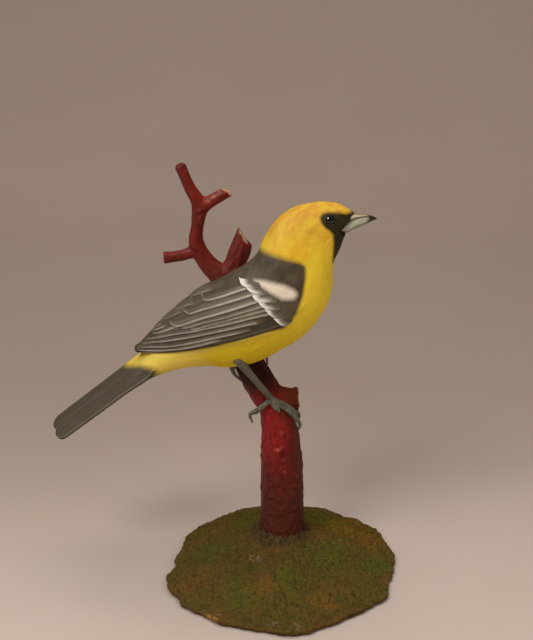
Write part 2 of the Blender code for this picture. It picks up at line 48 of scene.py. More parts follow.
TAIL_HALF_WIDTH = 12.3 * MM
# From the front of the wing to its tip, in mm
WING_REACH = 72
# Middle of the eye in the side view, in shares of the bird's length from the perch
EYE = (0.1985, 0.3755)
EYE_RADIUS = 2.5 * MM
EYE_BULGE = 1.2 * MM
# The lid's radius in mm
LID_RADIUS = 2.38
POST = 11.4 * MM
POST_FOOT = np.array((0.0014, 0.012, 0.0))
KNUCKLE_HEIGHT = 73.5 * MM
THICK_BARK = 8 * MM
# Heels of the feet: height, and degrees round the branch
NEAR_HEEL, FAR_HEEL = (0.0938, 18), (0.1122, -6)
MOUND_HALF_WIDTH, MOUND_HALF_DEPTH = 0.059, 0.065
# Grain of the solid skins that the loose shapes are grown into
BODY_GRAIN, BRANCH_GRAIN, LEG_GRAIN = 0.55 * MM, 0.5 * MM, 0.26 * MM


def table(columns, numbers, share=1000):
    """Rows of numbers given in small shares, in thousandths if nothing else is said."""
    return np.reshape(numbers, (-1, columns)) / share


# Stations of the body, in thousandths of the bird's length from the perch:
# top (along, up), bottom (along, up), half width
BODY = table(5, (
    260, 384, 236, 331, 24, 226, 404, 231, 304, 37, 197, 410.5, 219, 277, 50, 158, 409.5, 210, 252, 57,
    106.5, 395.5, 209, 222, 64, 66, 365, 208, 186, 74, 34, 315, 197, 145, 86, 14, 270, 172, 103, 96,
    -12, 242, 135, 62, 103, -55, 219, 85, 29, 105, -95, 196, 23, -5, 101, -131, 169, -43, -22, 91,
    -172, 132, -112, -20, 75, -222, 79, -168, -26, 59, -272, 17, -229, -41, 50, -312, -34, -287, -66, 47,
    -352, -84, -348, -89, 48))
# Rows of the folded wings: back line (along, up), lower edge (along, up), half width
WING = table(5, (
    70, 330, 150, 185, 78, 46, 302, 124, 150, 97, 24, 282, 97, 126, 105, -6, 252, 60, 114.5, 109,
    -42, 230, 23, 102.5, 110.5, -74, 212, -13, 91, 110, -105, 196, -50, 80, 106, -136, 178, -89, 69, 98,
    -169, 151, -125, 58, 88, -200, 124, -161, 48, 76, -229, 97, -198, 38.5, 62.5, -255, 70, -232, 31, 48.5,
    -281, 41, -266, 26, 34.5, -298.5, 27, -289.5, 18, 22))
# Feathers of one folded wing, lowest first. Each row: width, lift in mm, tone, and the lower edge
# from its root to its tip as (place along the wing, turn round it), in thousandths
FLIGHT = (
    (0.16, 0.75, 0.1, (170, 985, 220, 992, 400, 995, 600, 997, 800, 995, 920, 985, 965, 900, 985, 620,
     990, 300)),
    (0.13, 0.6, 0.6, (400, 955, 452, 952, 502, 952, 554, 955, 610, 960, 666, 965, 720, 965, 774, 957,
     832, 945, 890, 912, 934, 825, 952, 578, 956, 288)),
    (0.14, 0.6, 0.35, (262, 900, 280, 917, 312, 922, 390, 913, 468, 907, 544, 903, 626, 897, 708, 885,
     790, 853, 876, 740, 920, 597, 934, 418, 938, 168)),
    (0.15, 0.6, 0.75, (236, 868, 250, 872, 300, 865, 376, 846, 456, 835, 534, 827, 612, 805, 692, 770,
     776, 715, 864, 570, 892, 470, 906, 333, 914, 73)),
    (0.14, 0.6, 0.2, (194, 838, 232, 824, 262, 812, 312, 797, 364, 785, 416, 775, 470, 767, 522, 758,
     574, 742, 626, 715, 680, 673, 734, 630, 794, 568, 854, 423, 874, 295, 882, 108)),
    (0.13, 0.6, 0.9, (200, 788, 236, 775, 276, 760, 326, 747, 380, 735, 434, 728, 490, 725, 544, 722,
     570, 718, 596, 703, 616, 680, 628, 640)),
    (0.13, 0.6, 0.45, (212, 735, 244, 723, 294, 710, 344, 698, 400, 690, 456, 683, 508, 675, 562, 660,
     616, 640, 644, 620, 662, 588, 672, 555)),
    (0.15, 0.55, 0.8, (660, 545, 710, 508, 750, 475, 782, 438, 808, 380, 826, 290, 830, 188)),
    (0.15, 0.45, 0.3, (700, 350, 740, 345, 774, 313, 800, 255, 822, 143, 840, -120)),
)
TERTIALS = (
    (0.22, 0.8, 0.65, (220, 663, 250, 654, 282, 647, 334, 637, 388, 627, 444, 620, 500, 613, 554, 600,
     608, 577, 652, 555, 678, 530, 696, 470, 708, 380, 708, 300, 696, 253)),
    (0.22, 0.8, 0.25, (230, 566, 264, 556, 300, 546, 342, 533, 398, 517, 454, 505, 512, 490, 566, 466,
     592, 441, 608, 393, 618, 323, 618, 258, 606, 227)),
    (0.26, 0.8, 0.85, (244, 458, 274, 449, 310, 437, 354, 422, 412, 408, 452, 393, 486, 370, 504, 333,
     510, 278, 504, 210, 490, 178)),
)
RIDGE = (
    (0.3, 0.5, 0.5, (740, 200, 768, 188, 790, 150, 814, 60, 830, -80)),
    (0.36, 0.6, 0.15, (600, 315, 634, 295, 664, 270, 702, 225, 734, 148, 752, 20, 760, -140)),
    (0.36, 0.6, 0.55, (530, 315, 568, 288, 596, 242, 636, 182, 656, 110, 668, -20, 674, -180)),
    (0.36, 0.6, 0.95, (420, 200, 452, 198, 484, 182, 514, 158, 544, 128, 566, 20, 574, -160)),
)
COVERTS = (
    (0.2, 0.8, 0.7, (60, 1000, 110, 1000, 158, 996, 184, 978, 196, 948, 204, 910, 207, 877, 203, 845)),
    (0.22, 0.82, 0.2, (100, 975, 138, 945, 176, 910, 202, 878, 216, 840, 224, 795, 226, 762, 220, 730)),
    (0.22, 0.84, 0.5, (100, 900, 140, 850, 174, 815, 204, 785, 224, 752, 237, 712, 242, 677, 240, 640)),
    (0.22, 0.86, 0.85, (85, 840, 116, 800, 162, 745, 198, 708, 224, 682, 243, 652, 253, 615, 255, 575,
     252, 535)),
    (0.2, 0.88, 0.3, (120, 725, 152, 683, 184, 643, 218, 597, 242, 552, 257, 512, 265, 472, 267, 440,
     264, 405)),
    (0.16, 0.92, 0.6, (160, 600, 200, 552, 234, 494, 260, 445, 277, 400, 284, 357, 284.5, 338, 283, 320,
     279, 304)),
)
# Leaves of the tail: middle and half width in shares of the tail's half width, reach, length of
# the rounded end, drop in mm, tone
TAIL = ((0.42, 0.58, 1.018, 0.07, 0.55, 0.6), (-0.4, 0.6, 0.996, 0.1, 0.0, 0.2))
# Rows of the two halves of the bill, in ten-thousandths of the length: along, low, high, half width
UPPER_BILL = table(4, (
    2320, 3600, 3835, 235, 2468, 3648, 3842, 222, 2563, 3690, 3832, 192, 2652, 3722, 3820, 162,
    2775, 3747, 3805, 124, 2923, 3753, 3784, 86, 3050, 3716, 3748, 48, 3168, 3670, 3690, 12), 10000)
LOWER_BILL = table(4, (
    2180, 3440, 3560, 262, 2290, 3370, 3590, 268, 2424, 3335, 3655, 238, 2547, 3398, 3702, 196,
    2695, 3465, 3742, 150, 2844, 3527, 3758, 108, 2991, 3599, 3748, 68, 3100, 3648, 3706, 30,
    3155, 3670, 3688, 12), 10000)
# Borders of the painted colours in the side view, in the same shares
DARK_COAT = table(2, (
    -600, 3600, 247, 2964, 377, 2955, 558, 2934, 887, 2860, 1238, 2776, 1375, 2690, 1395, 2550, 1389, 2356,
    1322, 1914, 1170, 1521, 976, 1226, 849, 1120, 335, 1040, -265, 850, -878, 620, -1496, 430, -2119, 310,
    -2550, 262, -2740, 235, -2895, 190, -2990, 185, -3300, 185, -3300, 3000), 10000)
MASK = table(2, (
    2720, 3860, 2588, 3885, 2486, 3880, 2400, 3868, 2301, 3888, 2177, 3908, 1941, 3938, 1803, 3904,
    1740, 3825, 1764, 3718, 1851, 3598, 1962, 3515, 2051, 3413, 2078, 3174, 2075, 2998, 2067, 2796,
    2080, 2600, 2400, 2550, 3000, 3100, 3000, 3835), 10000)
PATCH = table(2, (
    105, 2294, 377, 2314, 624, 2283, 870, 2241, 1090, 2135, 1172, 2060, 1186, 1960, 1094, 1855, 796, 1875,
    540, 2008, 279, 2153), 10000)
# Where the skin gives way to the bare root of the bill, and a fine fold on the cheek
BILL_ROOT = table(2, (
    2215, 3470, 2274, 3472, 2322, 3511, 2383, 3575, 2480, 3678, 2528, 3754, 2588, 3857, 2900, 3900,
    2900, 3200, 2424, 3320, 2330, 3345, 2240, 3400), 10000)
CHEEK = table(2, (
    2051, 3370, 1977, 3318, 1905, 3254, 1783, 3152), 10000)


def curve(rows, places):
    """Points on a smooth curve through rows, at shares of the way along them."""
    last = len(rows) - 1
    spot = np.clip(places, 0, 1) * last
    index = np.minimum(spot.astype(int), last - 1)
    part = (spot - index)[..., None]
    a, b = rows[np.maximum(index - 1, 0)], rows[index]
    c, d = rows[index + 1], rows[np.minimum(index + 2, last)]
    return 0.5 * (2 * b + (c - a) * part + (2 * a - 5 * b + 4 * c - d) * part ** 2
                  + (3 * b - a - 3 * c + d) * part ** 3)


def lengths_along(points):
    """How far along a line each of its points is."""
    return np.concatenate(([0], np.cumsum(np.linalg.norm(np.diff(points, axis=0), axis=1))))


def path(knots, shares):
    """Points on a smooth curve through knots, at shares of its length."""
    reach = lengths_along(knots)
    reach /= reach[-1]
    slope = np.gradient(knots, reach, axis=0)
    index = np.clip(np.searchsorted(reach, shares, side="right") - 1, 0, len(knots) - 2)
    gap = (reach[index + 1] - reach[index])[:, None]
    t = (shares - reach[index])[:, None] / gap
    return ((2 * t ** 3 - 3 * t ** 2 + 1) * knots[index] + (t ** 3 - 2 * t ** 2 + t) * gap * slope[index]
            + (3 * t ** 2 - 2 * t ** 3) * knots[index + 1] + (t ** 3 - t ** 2) * gap * slope[index + 1])


def smoothstep(low, high, value):
    part = np.clip((value - low) / (high - low), 0, 1)
    return part * part * (3 - 2 * part)


def bell(value, width=1.0):
    return np.exp(-(value / width) ** 2)


def wave(*place):
    """Smooth noise at a place."""
    return noise.noise(Vector(place))


def circle(count):
    """Even angles once round."""
    return np.linspace(0, 2 * pi, count, endpoint=False)


def side_view(points):
    """Along and up, in shares of the bird's length from the perch."""
    return (points[:, [0, 2]] - PERCH[[0, 2]]) / LENGTH


def line_distance(points, line):
    """Millimetres from a line in the side view."""
    spots = side_view(points)
    best = np.full(len(spots), 9.0)
    for start, end in zip(line, line[1:]):
        way = end - start
        part = np.clip(((spots - start) @ way) / (way @ way), 0, 1)
        best = np.minimum(best, np.hypot(*(spots - start - part[:, None] * way).T))
    return best * LENGTH / MM


def border_distance(points, border):
    """Millimetres from the border in the side view, above zero inside it."""
    along, up = side_view(points).T
    line = np.vstack((border, border[:1]))
    inside = np.zeros(len(points), bool)
    for start, end in zip(line, line[1:]):
        way = end - start
        reach = start[0] + (up - start[1]) * way[0] / (way[1] or 1e-9)
        inside ^= ((start[1] > up) != (end[1] > up)) & (along < reach)
    return line_distance(points, line) * np.where(inside, 1, -1)


def from_perch(along, up, across=0.0):
    """Points of the bird, from shares of its length measured from the perch."""
    return PERCH + np.stack(np.broadcast_arrays(along, across, up), -1) * LENGTH


def linked(name, data):
    """A new object of the scene that shows a mesh, a light or a camera."""
    thing = bpy.data.objects.new(name, data)
    bpy.context.scene.collection.objects.link(thing)
    return thing


def new_object(name, points, faces):
    mesh = bpy.data.meshes.new(name)
    mesh.from_pydata(np.reshape(points, (-1, 3)).tolist(), [], faces)
    turned = bmesh.new()
    turned.from_mesh(mesh)
    bmesh.ops.recalc_face_normals(turned, faces=turned.faces)
    turned.to_mesh(mesh)
    turned.free()
    mesh.shade_smooth()
    return linked(name, mesh)


def grid_faces(rows, columns):
    """Faces between rows of points, each row closed round."""
    faces = []
    for low in range(0, (rows - 1) * columns, columns):
        for column in range(columns):
            after = low + (column + 1) % columns
            faces.append((low + column, after, after + columns, low + column + columns))
    return faces


def loft(name, rings):
    """A closed solid through rings of equally many points."""
    rows, columns = np.shape(rings)[:2]
    ends = [tuple(range(columns)), tuple(range((rows - 1) * columns, rows * columns))]
    return new_object(name, rings, grid_faces(rows, columns) + ends)


def read_points(shape, what="co"):
    flat = np.empty(len(shape.data.vertices) * 3)
    shape.data.vertices.foreach_get(what, flat)
    return flat.reshape(-1, 3)


def set_points(shape, points):
    shape.data.vertices.foreach_set("co", np.ravel(points))
    shape.data.update()


def note(shape, **layers):
    """Writes values or vectors for the points of the mesh, for its material to read."""
    for name, values in layers.items():
        kind, key = ("FLOAT_VECTOR", "vector") if np.ndim(values) == 2 else ("FLOAT", "value")
        shape.data.attributes.new(name, kind, "POINT").data.foreach_set(key, np.ravel(values))


def joined(name, shapes):
    """One object that holds the meshes of several, which it takes the place of."""
    merged = bmesh.new()
    for shape in shapes:
        merged.from_mesh(shape.data)
        bpy.data.objects.remove(shape)
    mesh = bpy.data.meshes.new(name)
    merged.to_mesh(mesh)
    merged.free()
    mesh.shade_smooth()
    return linked(name, mesh)


def reshaped(shape):
    """Applies the shape's modifiers."""
    mesh = bpy.data.meshes.new_from_object(shape.evaluated_get(bpy.context.evaluated_depsgraph_get()))
    shape.modifiers.clear()
    shape.vertex_groups.clear()
    shape.data = mesh
    mesh.shade_smooth()
    return shape


def add_smoothing(shape, passes, group=""):
    ease = shape.modifiers.new("ease", "SMOOTH")
    ease.factor = 0.5
    ease.iterations = passes
    ease.vertex_group = group


def fused(name, shapes, voxel, passes):
    """Several closed shapes grown into one skin of small even faces."""
    whole = joined(name, shapes)
    skin = whole.modifiers.new("skin", "REMESH")
    skin.mode = "VOXEL"
    skin.voxel_size = voxel
    add_smoothing(whole, passes)
    return reshaped(whole)


def eased(shape, soft, passes):
    """Smooths the mesh where the weights say so."""
    group = shape.vertex_groups.new(name="soft")
    for index in np.nonzero(soft > 0.01)[0]:
        group.add([int(index)], float(soft[index]), "REPLACE")
    add_smoothing(shape, passes, "soft")
    reshaped(shape)


# Bird's body


def body_stations(places):
    """Middles of the body, the way from them to its top, and half widths."""
    rows = curve(BODY, places)
    return (rows[:, :2] + rows[:, 2:4]) / 2, (rows[:, :2] - rows[:, 2:4]) / 2, rows[:, 4:]


def body_rings(rings, segments):
    places = np.linspace(0, 1, rings + 1)
    middle, rise, half = body_stations(places)
    turn = circle(segments)
    reach = np.hypot(*rise.T)[:, None]
    twist = TAIL_ROLL * np.clip((places - TWIST_START) / (1 - TWIST_START), 0, 1)[:, None]
    height, width = np.cos(turn) * reach, np.sin(turn) * half
    raised = (width * np.sin(twist) + height * np.cos(twist)) / reach
    across = width * np.cos(twist) - height * np.sin(twist)
    return from_perch(middle[:, :1] + rise[:, :1] * raised, middle[:, 1:] + rise[:, 1:] * raised, across)


def wing_points(place, turn, lift, side):
    """Points on a folded wing, each lifted off its surface."""
    place, turn, lift = np.broadcast_arrays(place, turn, lift)
    rows = curve(WING, place)
    back, low, half = rows[..., 0:2], rows[..., 2:4], rows[..., 4]
    angle = turn * pi / 2
    spot = back + (low - back) * (1 - np.cos(angle))[..., None]
    width = np.sin(angle)
    fall = np.hypot(*np.moveaxis(low - back, -1, 0))
    up = (back - low) / fall[..., None] * (np.cos(angle) * half)[..., None]
    out = np.stack((up[..., 0], side * width * fall, up[..., 1]), -1)
    out /= np.linalg.norm(out, axis=-1, keepdims=True)
    return from_perch(spot[..., 0], spot[..., 1], side * half * width) + out * lift[..., None]


def wing_cover():
    """The two wings as one smooth saddle, feathers apart."""
    place, turn = np.linspace(0, 1, 131)[:, None], np.linspace(-1, 1, 91)[None, :]
    side = np.where(turn < 0, -1, 1)
    outer = wing_points(place, np.abs(turn), 0.0, side)
    inner = wing_points(place, np.abs(turn) * 0.9, -2.6 * MM, side)[:, ::-1]
    return loft("wing_cover", np.concatenate((outer, inner), axis=1))


def body_flow(points):
    """Along the body and round it, in millimetres, for strokes that follow the feathers."""
    middle, rise, _ = body_stations(np.linspace(0, 1, 161))
    size = np.hypot(*rise.T)
    spots = side_view(points)
    best = np.full(len(spots), 9.0)
    chosen = np.zeros(len(spots), int)
    for index, (forward, up) in enumerate(rise):
        off = spots - middle[index]
        miss = np.abs(off[:, 0] * up - off[:, 1] * forward) / size[index]
        miss += np.maximum(np.abs(off @ rise[index]) / size[index] - size[index] * 1.15, 0)
        chosen[miss < best] = index
        best = np.minimum(best, miss)
    height = np.einsum("ij,ij->i", spots - middle[chosen], rise[chosen]) / size[chosen]
    across = (points[:, 1] - PERCH[1]) / LENGTH
    return np.stack((lengths_along(middle)[chosen], height, across), axis=1) * LENGTH / MM


def tail_axes():
    """Root of the tail, its ways back, across and up, and its length."""
    root, end = from_perch(-0.25, -0.004), from_perch(-0.5085, -0.2065)
    back = (end - root) / np.linalg.norm(end - root)
    level = np.array((0.0, 1.0, 0.0))
    up = np.cross(level, back)
    up /= np.linalg.norm(up)
    across = level * cos(TAIL_ROLL) + up * sin(TAIL_ROLL)
    return root, back, across, np.cross(across, back), np.linalg.norm(end - root)


def rump_distance(points):
    """Millimetres past the soft border where the rump's yellow gives way to the tail's grey."""
    root, back, across, up, _ = tail_axes()
    off = (points - root) / MM
    sideways = off @ across
    below = smoothstep(-2.5, -5.0, off @ up) * smoothstep(0, -6, sideways)
    return off @ back - (10.2 + 0.76 * sideways - 0.02 * sideways ** 2) + 2.2 * below


def paint_notes(shape):
    points = read_points(shape)
    along, up = side_view(points).T
    coat = np.maximum(border_distance(points, DARK_COAT), -30)
    # the border is crisp along the wing, and soft on the nape
    wing = smoothstep(0.1, 0.04, along) * smoothstep(0.24, 0.18, up)
    # one note holds a painted shadow line just inside the wing's lower border and, below zero, a painted
    # highlight on the yellow flank just under it
    note(shape, coat=coat * (1 + 0.8 * smoothstep(0.29, 0.26, up) + 2.5 * wing),
         hem=wing * (bell(coat - 0.5, 0.6) - bell(coat + 1.2, 0.6)), mask=border_distance(points, MASK),
         patch=border_distance(points, PATCH), fold=bell(line_distance(points, CHEEK), 0.55),
         rump=rump_distance(points), flow=body_flow(points))


def bird_body():
    shape = fused("bird_body", [loft("core", body_rings(240, 120)), wing_cover()], BODY_GRAIN, 5)
    along, up = side_view(read_points(shape)).T
    # the wing's front edge melts into the breast, so it is eased again
    soft = smoothstep(0.088, 0.122, along) * smoothstep(0.078, 0.102, up) * (1 - smoothstep(0.31, 0.34, up))
    eased(shape, soft, 70)
    points, normals = read_points(shape), read_points(shape, "normal")
    lift = np.array([0.16 * wave(x * 0.16, y * 0.34, z * 0.34) + 0.05 * wave(x * 0.45, y * 1.5, z * 1.5)
                     for x, y, z in body_flow(points)])
    root = border_distance(points, BILL_ROOT)
    lift += 0.18 * bell(root + 0.7, 0.6) - 0.22 * bell(line_distance(points, CHEEK), 0.4)
    points += normals * lift[:, None] * MM
    points[:, 1] -= (points[:, 1] - PERCH[1]) * 0.5 * smoothstep(-0.2, 0.45, root)
    set_points(shape, points)
    paint_notes(shape)
    return shape


# Feathers


def leaf(name, top, under, vane):
    """A closed thin leaf from two grids of points, with notes for its paint."""
    shape = loft(name, np.concatenate((top, under[:, ::-1]), axis=1))
    below = vane[:, ::-1] * (1, 1, 0) - (0, 0, 1)
    note(shape, vane=np.concatenate((vane, below), axis=1).reshape(-1, 3))
    shape.data.set_sharp_from_angle(angle=radians(50))
    return shape


def wing_feather(side, width, lift, tone, edge, root, rise, strip=0.75, front=(0.09, 0.18), blaze=False):
    """A feather of the folded wing, highest along its lower edge and sunk where others cover it."""
    edge = table(2, edge)
    shares = np.concatenate((np.linspace(0, 0.72, 40), np.linspace(0.72, 1, 34)[1:]))
    line = path(edge, shares)
    u, v = np.meshgrid(shares, np.sin(np.linspace(-1, 1, 21) * pi / 2), indexing="ij")
    low = (1 - v) / 2
    round_off = np.sqrt(np.clip(1 - np.clip((u - 0.88) / 0.12, 0, 1) ** 2, 0.0016, 1))
    place = line[:, :1] + 0 * u
    turn = np.minimum(line[:, 1:] + 0.012 - low * width * round_off, 1.0)
    raised = (0.85 * np.clip(1 - low / strip, 0, 1) ** 1.25 + 0.2 * bell(low - 0.07, 0.05)
              - 0.4 * np.clip(1 - low / 0.045, 0, 1) ** 2)
    start = 0 if blaze else edge[0, 0]
    if start > 0.23:
        root, rise = 0.1, (0, 0.12)
    wake = (root + (1 - root) * smoothstep(*rise, u)) * (1 - smoothstep(0.86, 1.0, u))
    height = (lift * raised * wake - 0.4 * (1 - wake) - 0.25 * smoothstep(min(strip, 1) * 0.9, 1.0, low)
              - 2.6 * (1 - smoothstep(*front, place))) * MM
    top = wing_points(place, turn, height, side)
    under = wing_points(place, turn, np.minimum(-0.9 * MM, height - 0.4 * MM), side)
    reach = np.linalg.norm(top - top[:, -1:], axis=-1) / MM
    if start > 0.25:
        # a rim that starts in the open pales out towards its root
        reach += 1.6 * (1 - smoothstep(0, 0.14, u))
    if blaze:
        # the whole end is near the rim, not its lower edge alone
        reach = np.minimum(reach, 0.3 + (place.max() - place) * WING_REACH)
    return leaf("feather", top, under, np.stack((u, reach, tone + 0 * u), -1))


def wing_feathers():
    return [joined(name, [wing_feather(side, *row, *form) for side in (-1, 1) for row in rows])
            for name, rows, form in (("flight_feathers", FLIGHT, (0.4, (0, 0.05))),
                                     ("tertial_feathers", TERTIALS, (0.5, (0, 0.06))),
                                     ("ridge_feathers", RIDGE, (0.1, (0, 0.4))),
                                     ("covert_feathers", COVERTS, (0.0, (0.1, 0.5), 1.0, (0.1, 0.17), True)))]


def tail_feathers():
    """Two broad smooth leaves, the near one over the far one."""
    root, back, across, up, length = tail_axes()
    along = np.concatenate((np.linspace(0, 0.9, 60), np.linspace(0.9, 1, 30)[1:]))
    u, v = np.meshgrid(along, np.sin(np.linspace(-1, 1, 61) * pi / 2), indexing="ij")
    made = []
    for middle, wide, reach, tip_share, drop, tone in TAIL:
        tip = np.clip((u - 1 + tip_share) / tip_share, 0, 1)
        offset = middle + wide * v * np.sqrt(np.clip(1 - tip ** 2.3, 0.0009, 1))
        near = middle < 0
        start = 0.7 if near else 0.64
        flare = start + (1 - start) * np.sin(np.minimum(1, u / 0.16) * pi / 2) - 0.08 * u
        flare += 0.12 * near * smoothstep(0, 0.08, u) * (1 - smoothstep(0.08, 0.34, u))
        spot = root + back * (length * reach * (u - 0.03 * near * (1 - u)))[..., None]
        spot = spot + across * (offset * TAIL_HALF_WIDTH * flare)[..., None]
        arch = 0.9 * (1 - offset ** 2)
        ribs = 0.05 * np.cos(offset * 23) * smoothstep(0.1, 0.4, u)
        edge = 0.3 * np.clip((np.abs(v) - 0.9) / 0.1, 0, 1) ** 2
        top = 0.8 - drop + arch + ribs - edge
        under = 0.75 * arch - drop - 0.55 + 0.4 * np.abs(v) ** 3 + 0.5 * edge
        made.append(leaf("tail_feather", *(spot + up * height[..., None] * MM for height in (top, under)),
                         np.stack((u, v, tone + 0 * u), -1)))
    return joined("tail_feathers", made)


# Head


def mandible(name, rows, keel):
    """A bill half whose section is a rounded wedge, its flat side on the gape."""
    rings, notes = [], []
    turn, shares = circle(40), np.linspace(0, 1, 60)
    height = np.cos(turn)
    width = np.sign(np.sin(turn)) * np.abs(np.sin(turn)) ** (0.75 + 0.55 * np.maximum(height * keel, 0))
    for share, (along, low, high, half) in zip(shares, curve(rows, shares)):
        half *= max(0.04, 1 - max(0.0, (share - 0.97) / 0.03) ** 2) ** 0.5
        rings.append(from_perch(along, (low + high) / 2 + (high - low) / 2 * height, -half * width))
        notes.append(np.stack((along * 10 + 0 * turn, height * keel, width), axis=1))
    shape = loft(name, rings)
    note(shape, horn=np.concatenate(notes))
    return shape


def skin_at(shape, along, up, side):
    """The point of the skin at a place of the side view."""
    return shape.ray_cast(Vector(from_perch(along, up, side * 0.4)), Vector((0, -side, 0)))[1]


def ball(name, centre, radius, segments=48, rings=32):
    tilt, turn = np.linspace(0, pi, rings + 1)[1:-1, None], circle(segments)
    points = np.stack((np.sin(tilt) * np.cos(turn), np.cos(tilt) + 0 * turn, np.sin(tilt) * np.sin(turn)), -1)
    points = np.concatenate((points.reshape(-1, 3), [(0, 1, 0), (0, -1, 0)])) * radius + centre
    faces = grid_faces(rings - 1, segments)
    top, last = len(points) - 2, (rings - 2) * segments
    for corner in range(segments):
        after = (corner + 1) % segments
        faces += [(top, after, corner), (top + 1, last + corner, last + after)]
    return new_object(name, points, faces)


def eyelid(body, side):
    """A thin soft ring that follows the skin round the eye."""
    points = []
    for turn in circle(64):
        for small in circle(14):
            wide = (LID_RADIUS + 0.24 * cos(small)) * MM
            spot = from_perch(*EYE) + (cos(turn) * 1.04 * wide, 0, sin(turn) * wide)
            skin = skin_at(body, *side_view(spot[None])[0], side)
            spot[1] = skin[1] + side * (0.06 + 0.26 * sin(small)) * MM
            points.append(spot)
    faces = [tuple(corner % len(points) for corner in face) for face in grid_faces(65, 14)]
    return new_object("eyelid", points, faces)


# Branch, in millimetres: rows of x, y, z and radius
MAIN = table(4, (
    1.4, 12, 12.8, 12.084, 1.4, 12, 20.5, 11.4, 0.9, 12, 49.5, 10.716, 0.3, 10.5, 66.6, 9.918,
    -1.1, 9.4, 78, 8.55, -3.3, 10.5, 88, 8.1, -8.2, 12.2502, 94.992, 7.92, -13.2, 15.5005, 102.672, 7.7,
    -17.6, 20.1437, 110.544, 7.35, -21.8, 27.1085, 123.024, 7, -25.4, 30.823, 134.928, 6.72,
    -29.2, 32.216, 147.024, 6.02, -37.6, 33.716, 156.24, 4.48, -42.4, 33.716, 165.84, 3.85,
    -41.6, 32.716, 176.496, 3.136, -41.1, 32.216, 187.536, 3.584, -44.9, 31.716, 194.832, 2.944,
    -47.9, 31.216, 202.128, 2.752, -49.4, 30.816, 205.968, 2.816, -50, 30.716, 207.504, 1.44))
KNUCKLE_STUB = table(4, (
    -3.3, 10.5, 89.4, 7.56, 2.2, 11, 90.2, 6.48, 6.3, 11.3, 90.6, 5.49, 8.9, 11.5, 90.6, 6.48))
BROKEN_STUB = table(4, (
    -28.2, 32.216, 148.024, 5.04, -22.9, 32.516, 156.024, 5.04, -20.1, 32.516, 162.524, 5.32,
    -18.5, 32.516, 167.524, 4.55))
LEFT_TWIG = table(4, (
    -41.4, 33.716, 162.34, 3.2, -49.2, 33.416, 159.74, 2.88, -55.2, 32.916, 158.94, 2.784,
    -59, 32.716, 158.64, 3.168))
RIGHT_TWIG = table(4, (
    -41.1, 32.216, 184.536, 3.52, -34.3, 31.716, 188.536, 3.328, -25.6, 31.216, 193.736, 2.816))
# Fills the crook below the right twig
CROOK = table(4, (
    -41.2, 32.216, 176.5, 3, -40.4, 32.216, 180.5, 3.1, -38.6, 32.216, 184.5, 3.1,
    -34.5, 32.216, 188.2, 3.1))
# Places where the forks are rounded out: centre and reach
FORKS = table(4, (
    2, 11, 97.5, 11.5, -29, 32.216, 153.5, 7, -46.5, 32.216, 161.5, 6.5, -38.5, 32.216, 190, 8.5,
    -35, 32.216, 185, 7.5))
# Knots of the bark: centre, radius, height
KNOTS = table(5, (
    1.3, 0.6, 63.6, 3.6, 0.55, -1.2, 0.4, 67.4, 1.9, 0.3, 0.3, 0, 75.8, 2.3, 0.32,
    1.9, 0.8, 54.3, 2.2, 0.34, 8.6, 4.6, 50.6, 1.5, 0.28, 7.6, 3.6, 45.4, 1.4, 0.26,
    9.8, 5.6, 44.2, 1.4, 0.26, -5.2, 2, 42, 3, 0.22, 11, 12, 56, 3.6, 0.3, -9, 15, 60, 3.6, 0.3,
    5, 22, 48, 3.6, 0.6, -40.5, 28.216, 182, 2, 0.35))
# Light spots of the bark, partly pale bumps and partly painted highlights, and dark ones below zero: centre,
# half sizes, strength in thousandths
SPOTS_AND_SHINE = table(7, (
    -1.2, 0.2, 66.8, 2.2, 4, 1.2, 900, 0.4, 0, 76.2, 1.4, 4, 0.9, 800, 1.9, 0.8, 54.5, 1.1, 4, 1.8, 700,
    8.6, 5, 50.6, 0.7, 4, 0.7, 800, 7.6, 4, 45.4, 0.6, 4, 0.6, 800, 9.8, 6, 44.2, 0.6, 4, 0.6, 800,
    -5.5, 2, 48, 0.7, 4, 9, -600, 1.6, 0.8, 63.2, 2.1, 4, 2.2, -900, 4, 1, 70, 1, 4, 6, -600,
    1.2, 0.8, 47, 0.8, 4, 8, -500, -31, 29.216, 194, 1.6, 3, 1, 900, -33.4, 29.216, 191.2, 1.6, 3, 1, 900,
    -35.8, 29.216, 188.9, 1.6, 3, 0.9, 800, -49.5, 30.716, 206.4, 4, 4, 1.8, -900,
    -47, 29.216, 204.3, 0.8, 3, 1.1, 900, -40.5, 27.216, 180, 1, 4, 1.6, 700,
    -44, 27.216, 193, 0.8, 4, 1.4, 600, -37.5, 27.216, 156, 0.6, 4, 6, 500))
SHOOTS = (KNUCKLE_STUB, BROKEN_STUB, LEFT_TWIG, RIGHT_TWIG)


def spine_of(rows, count):
    return curve(rows, np.linspace(0, 1, count + 1))


def bar(name, rows, sides, steps, end_cut=None):
    """A round bar along a curve of x, y, z and radius. end_cut says how many millimetres a ring is pushed
    along the bar, by the direction round it."""
    rows = spine_of(rows, steps)
    centres = rows[:, :3]
    side = np.array((0.0, 1.0, 0.0))
    turn = circle(sides)[:, None]
    rings = []
    for index, (centre, radius) in enumerate(zip(centres, rows[:, 3])):
        ahead = centres[min(index + 1, steps)] - centres[max(index - 1, 0)]
        ahead /= np.linalg.norm(ahead)
        side = side - ahead * (side @ ahead)
        side /= np.linalg.norm(side)
        ring = centre + (side * np.cos(turn) + np.cross(ahead, side) * np.sin(turn)) * radius
        if end_cut:
            push = np.array([end_cut(degrees, index / steps) for degrees in np.degrees(turn[:, 0])])
            ring += ahead * push[:, None] * MM
        rings.append(ring)
    return loft(name, rings)


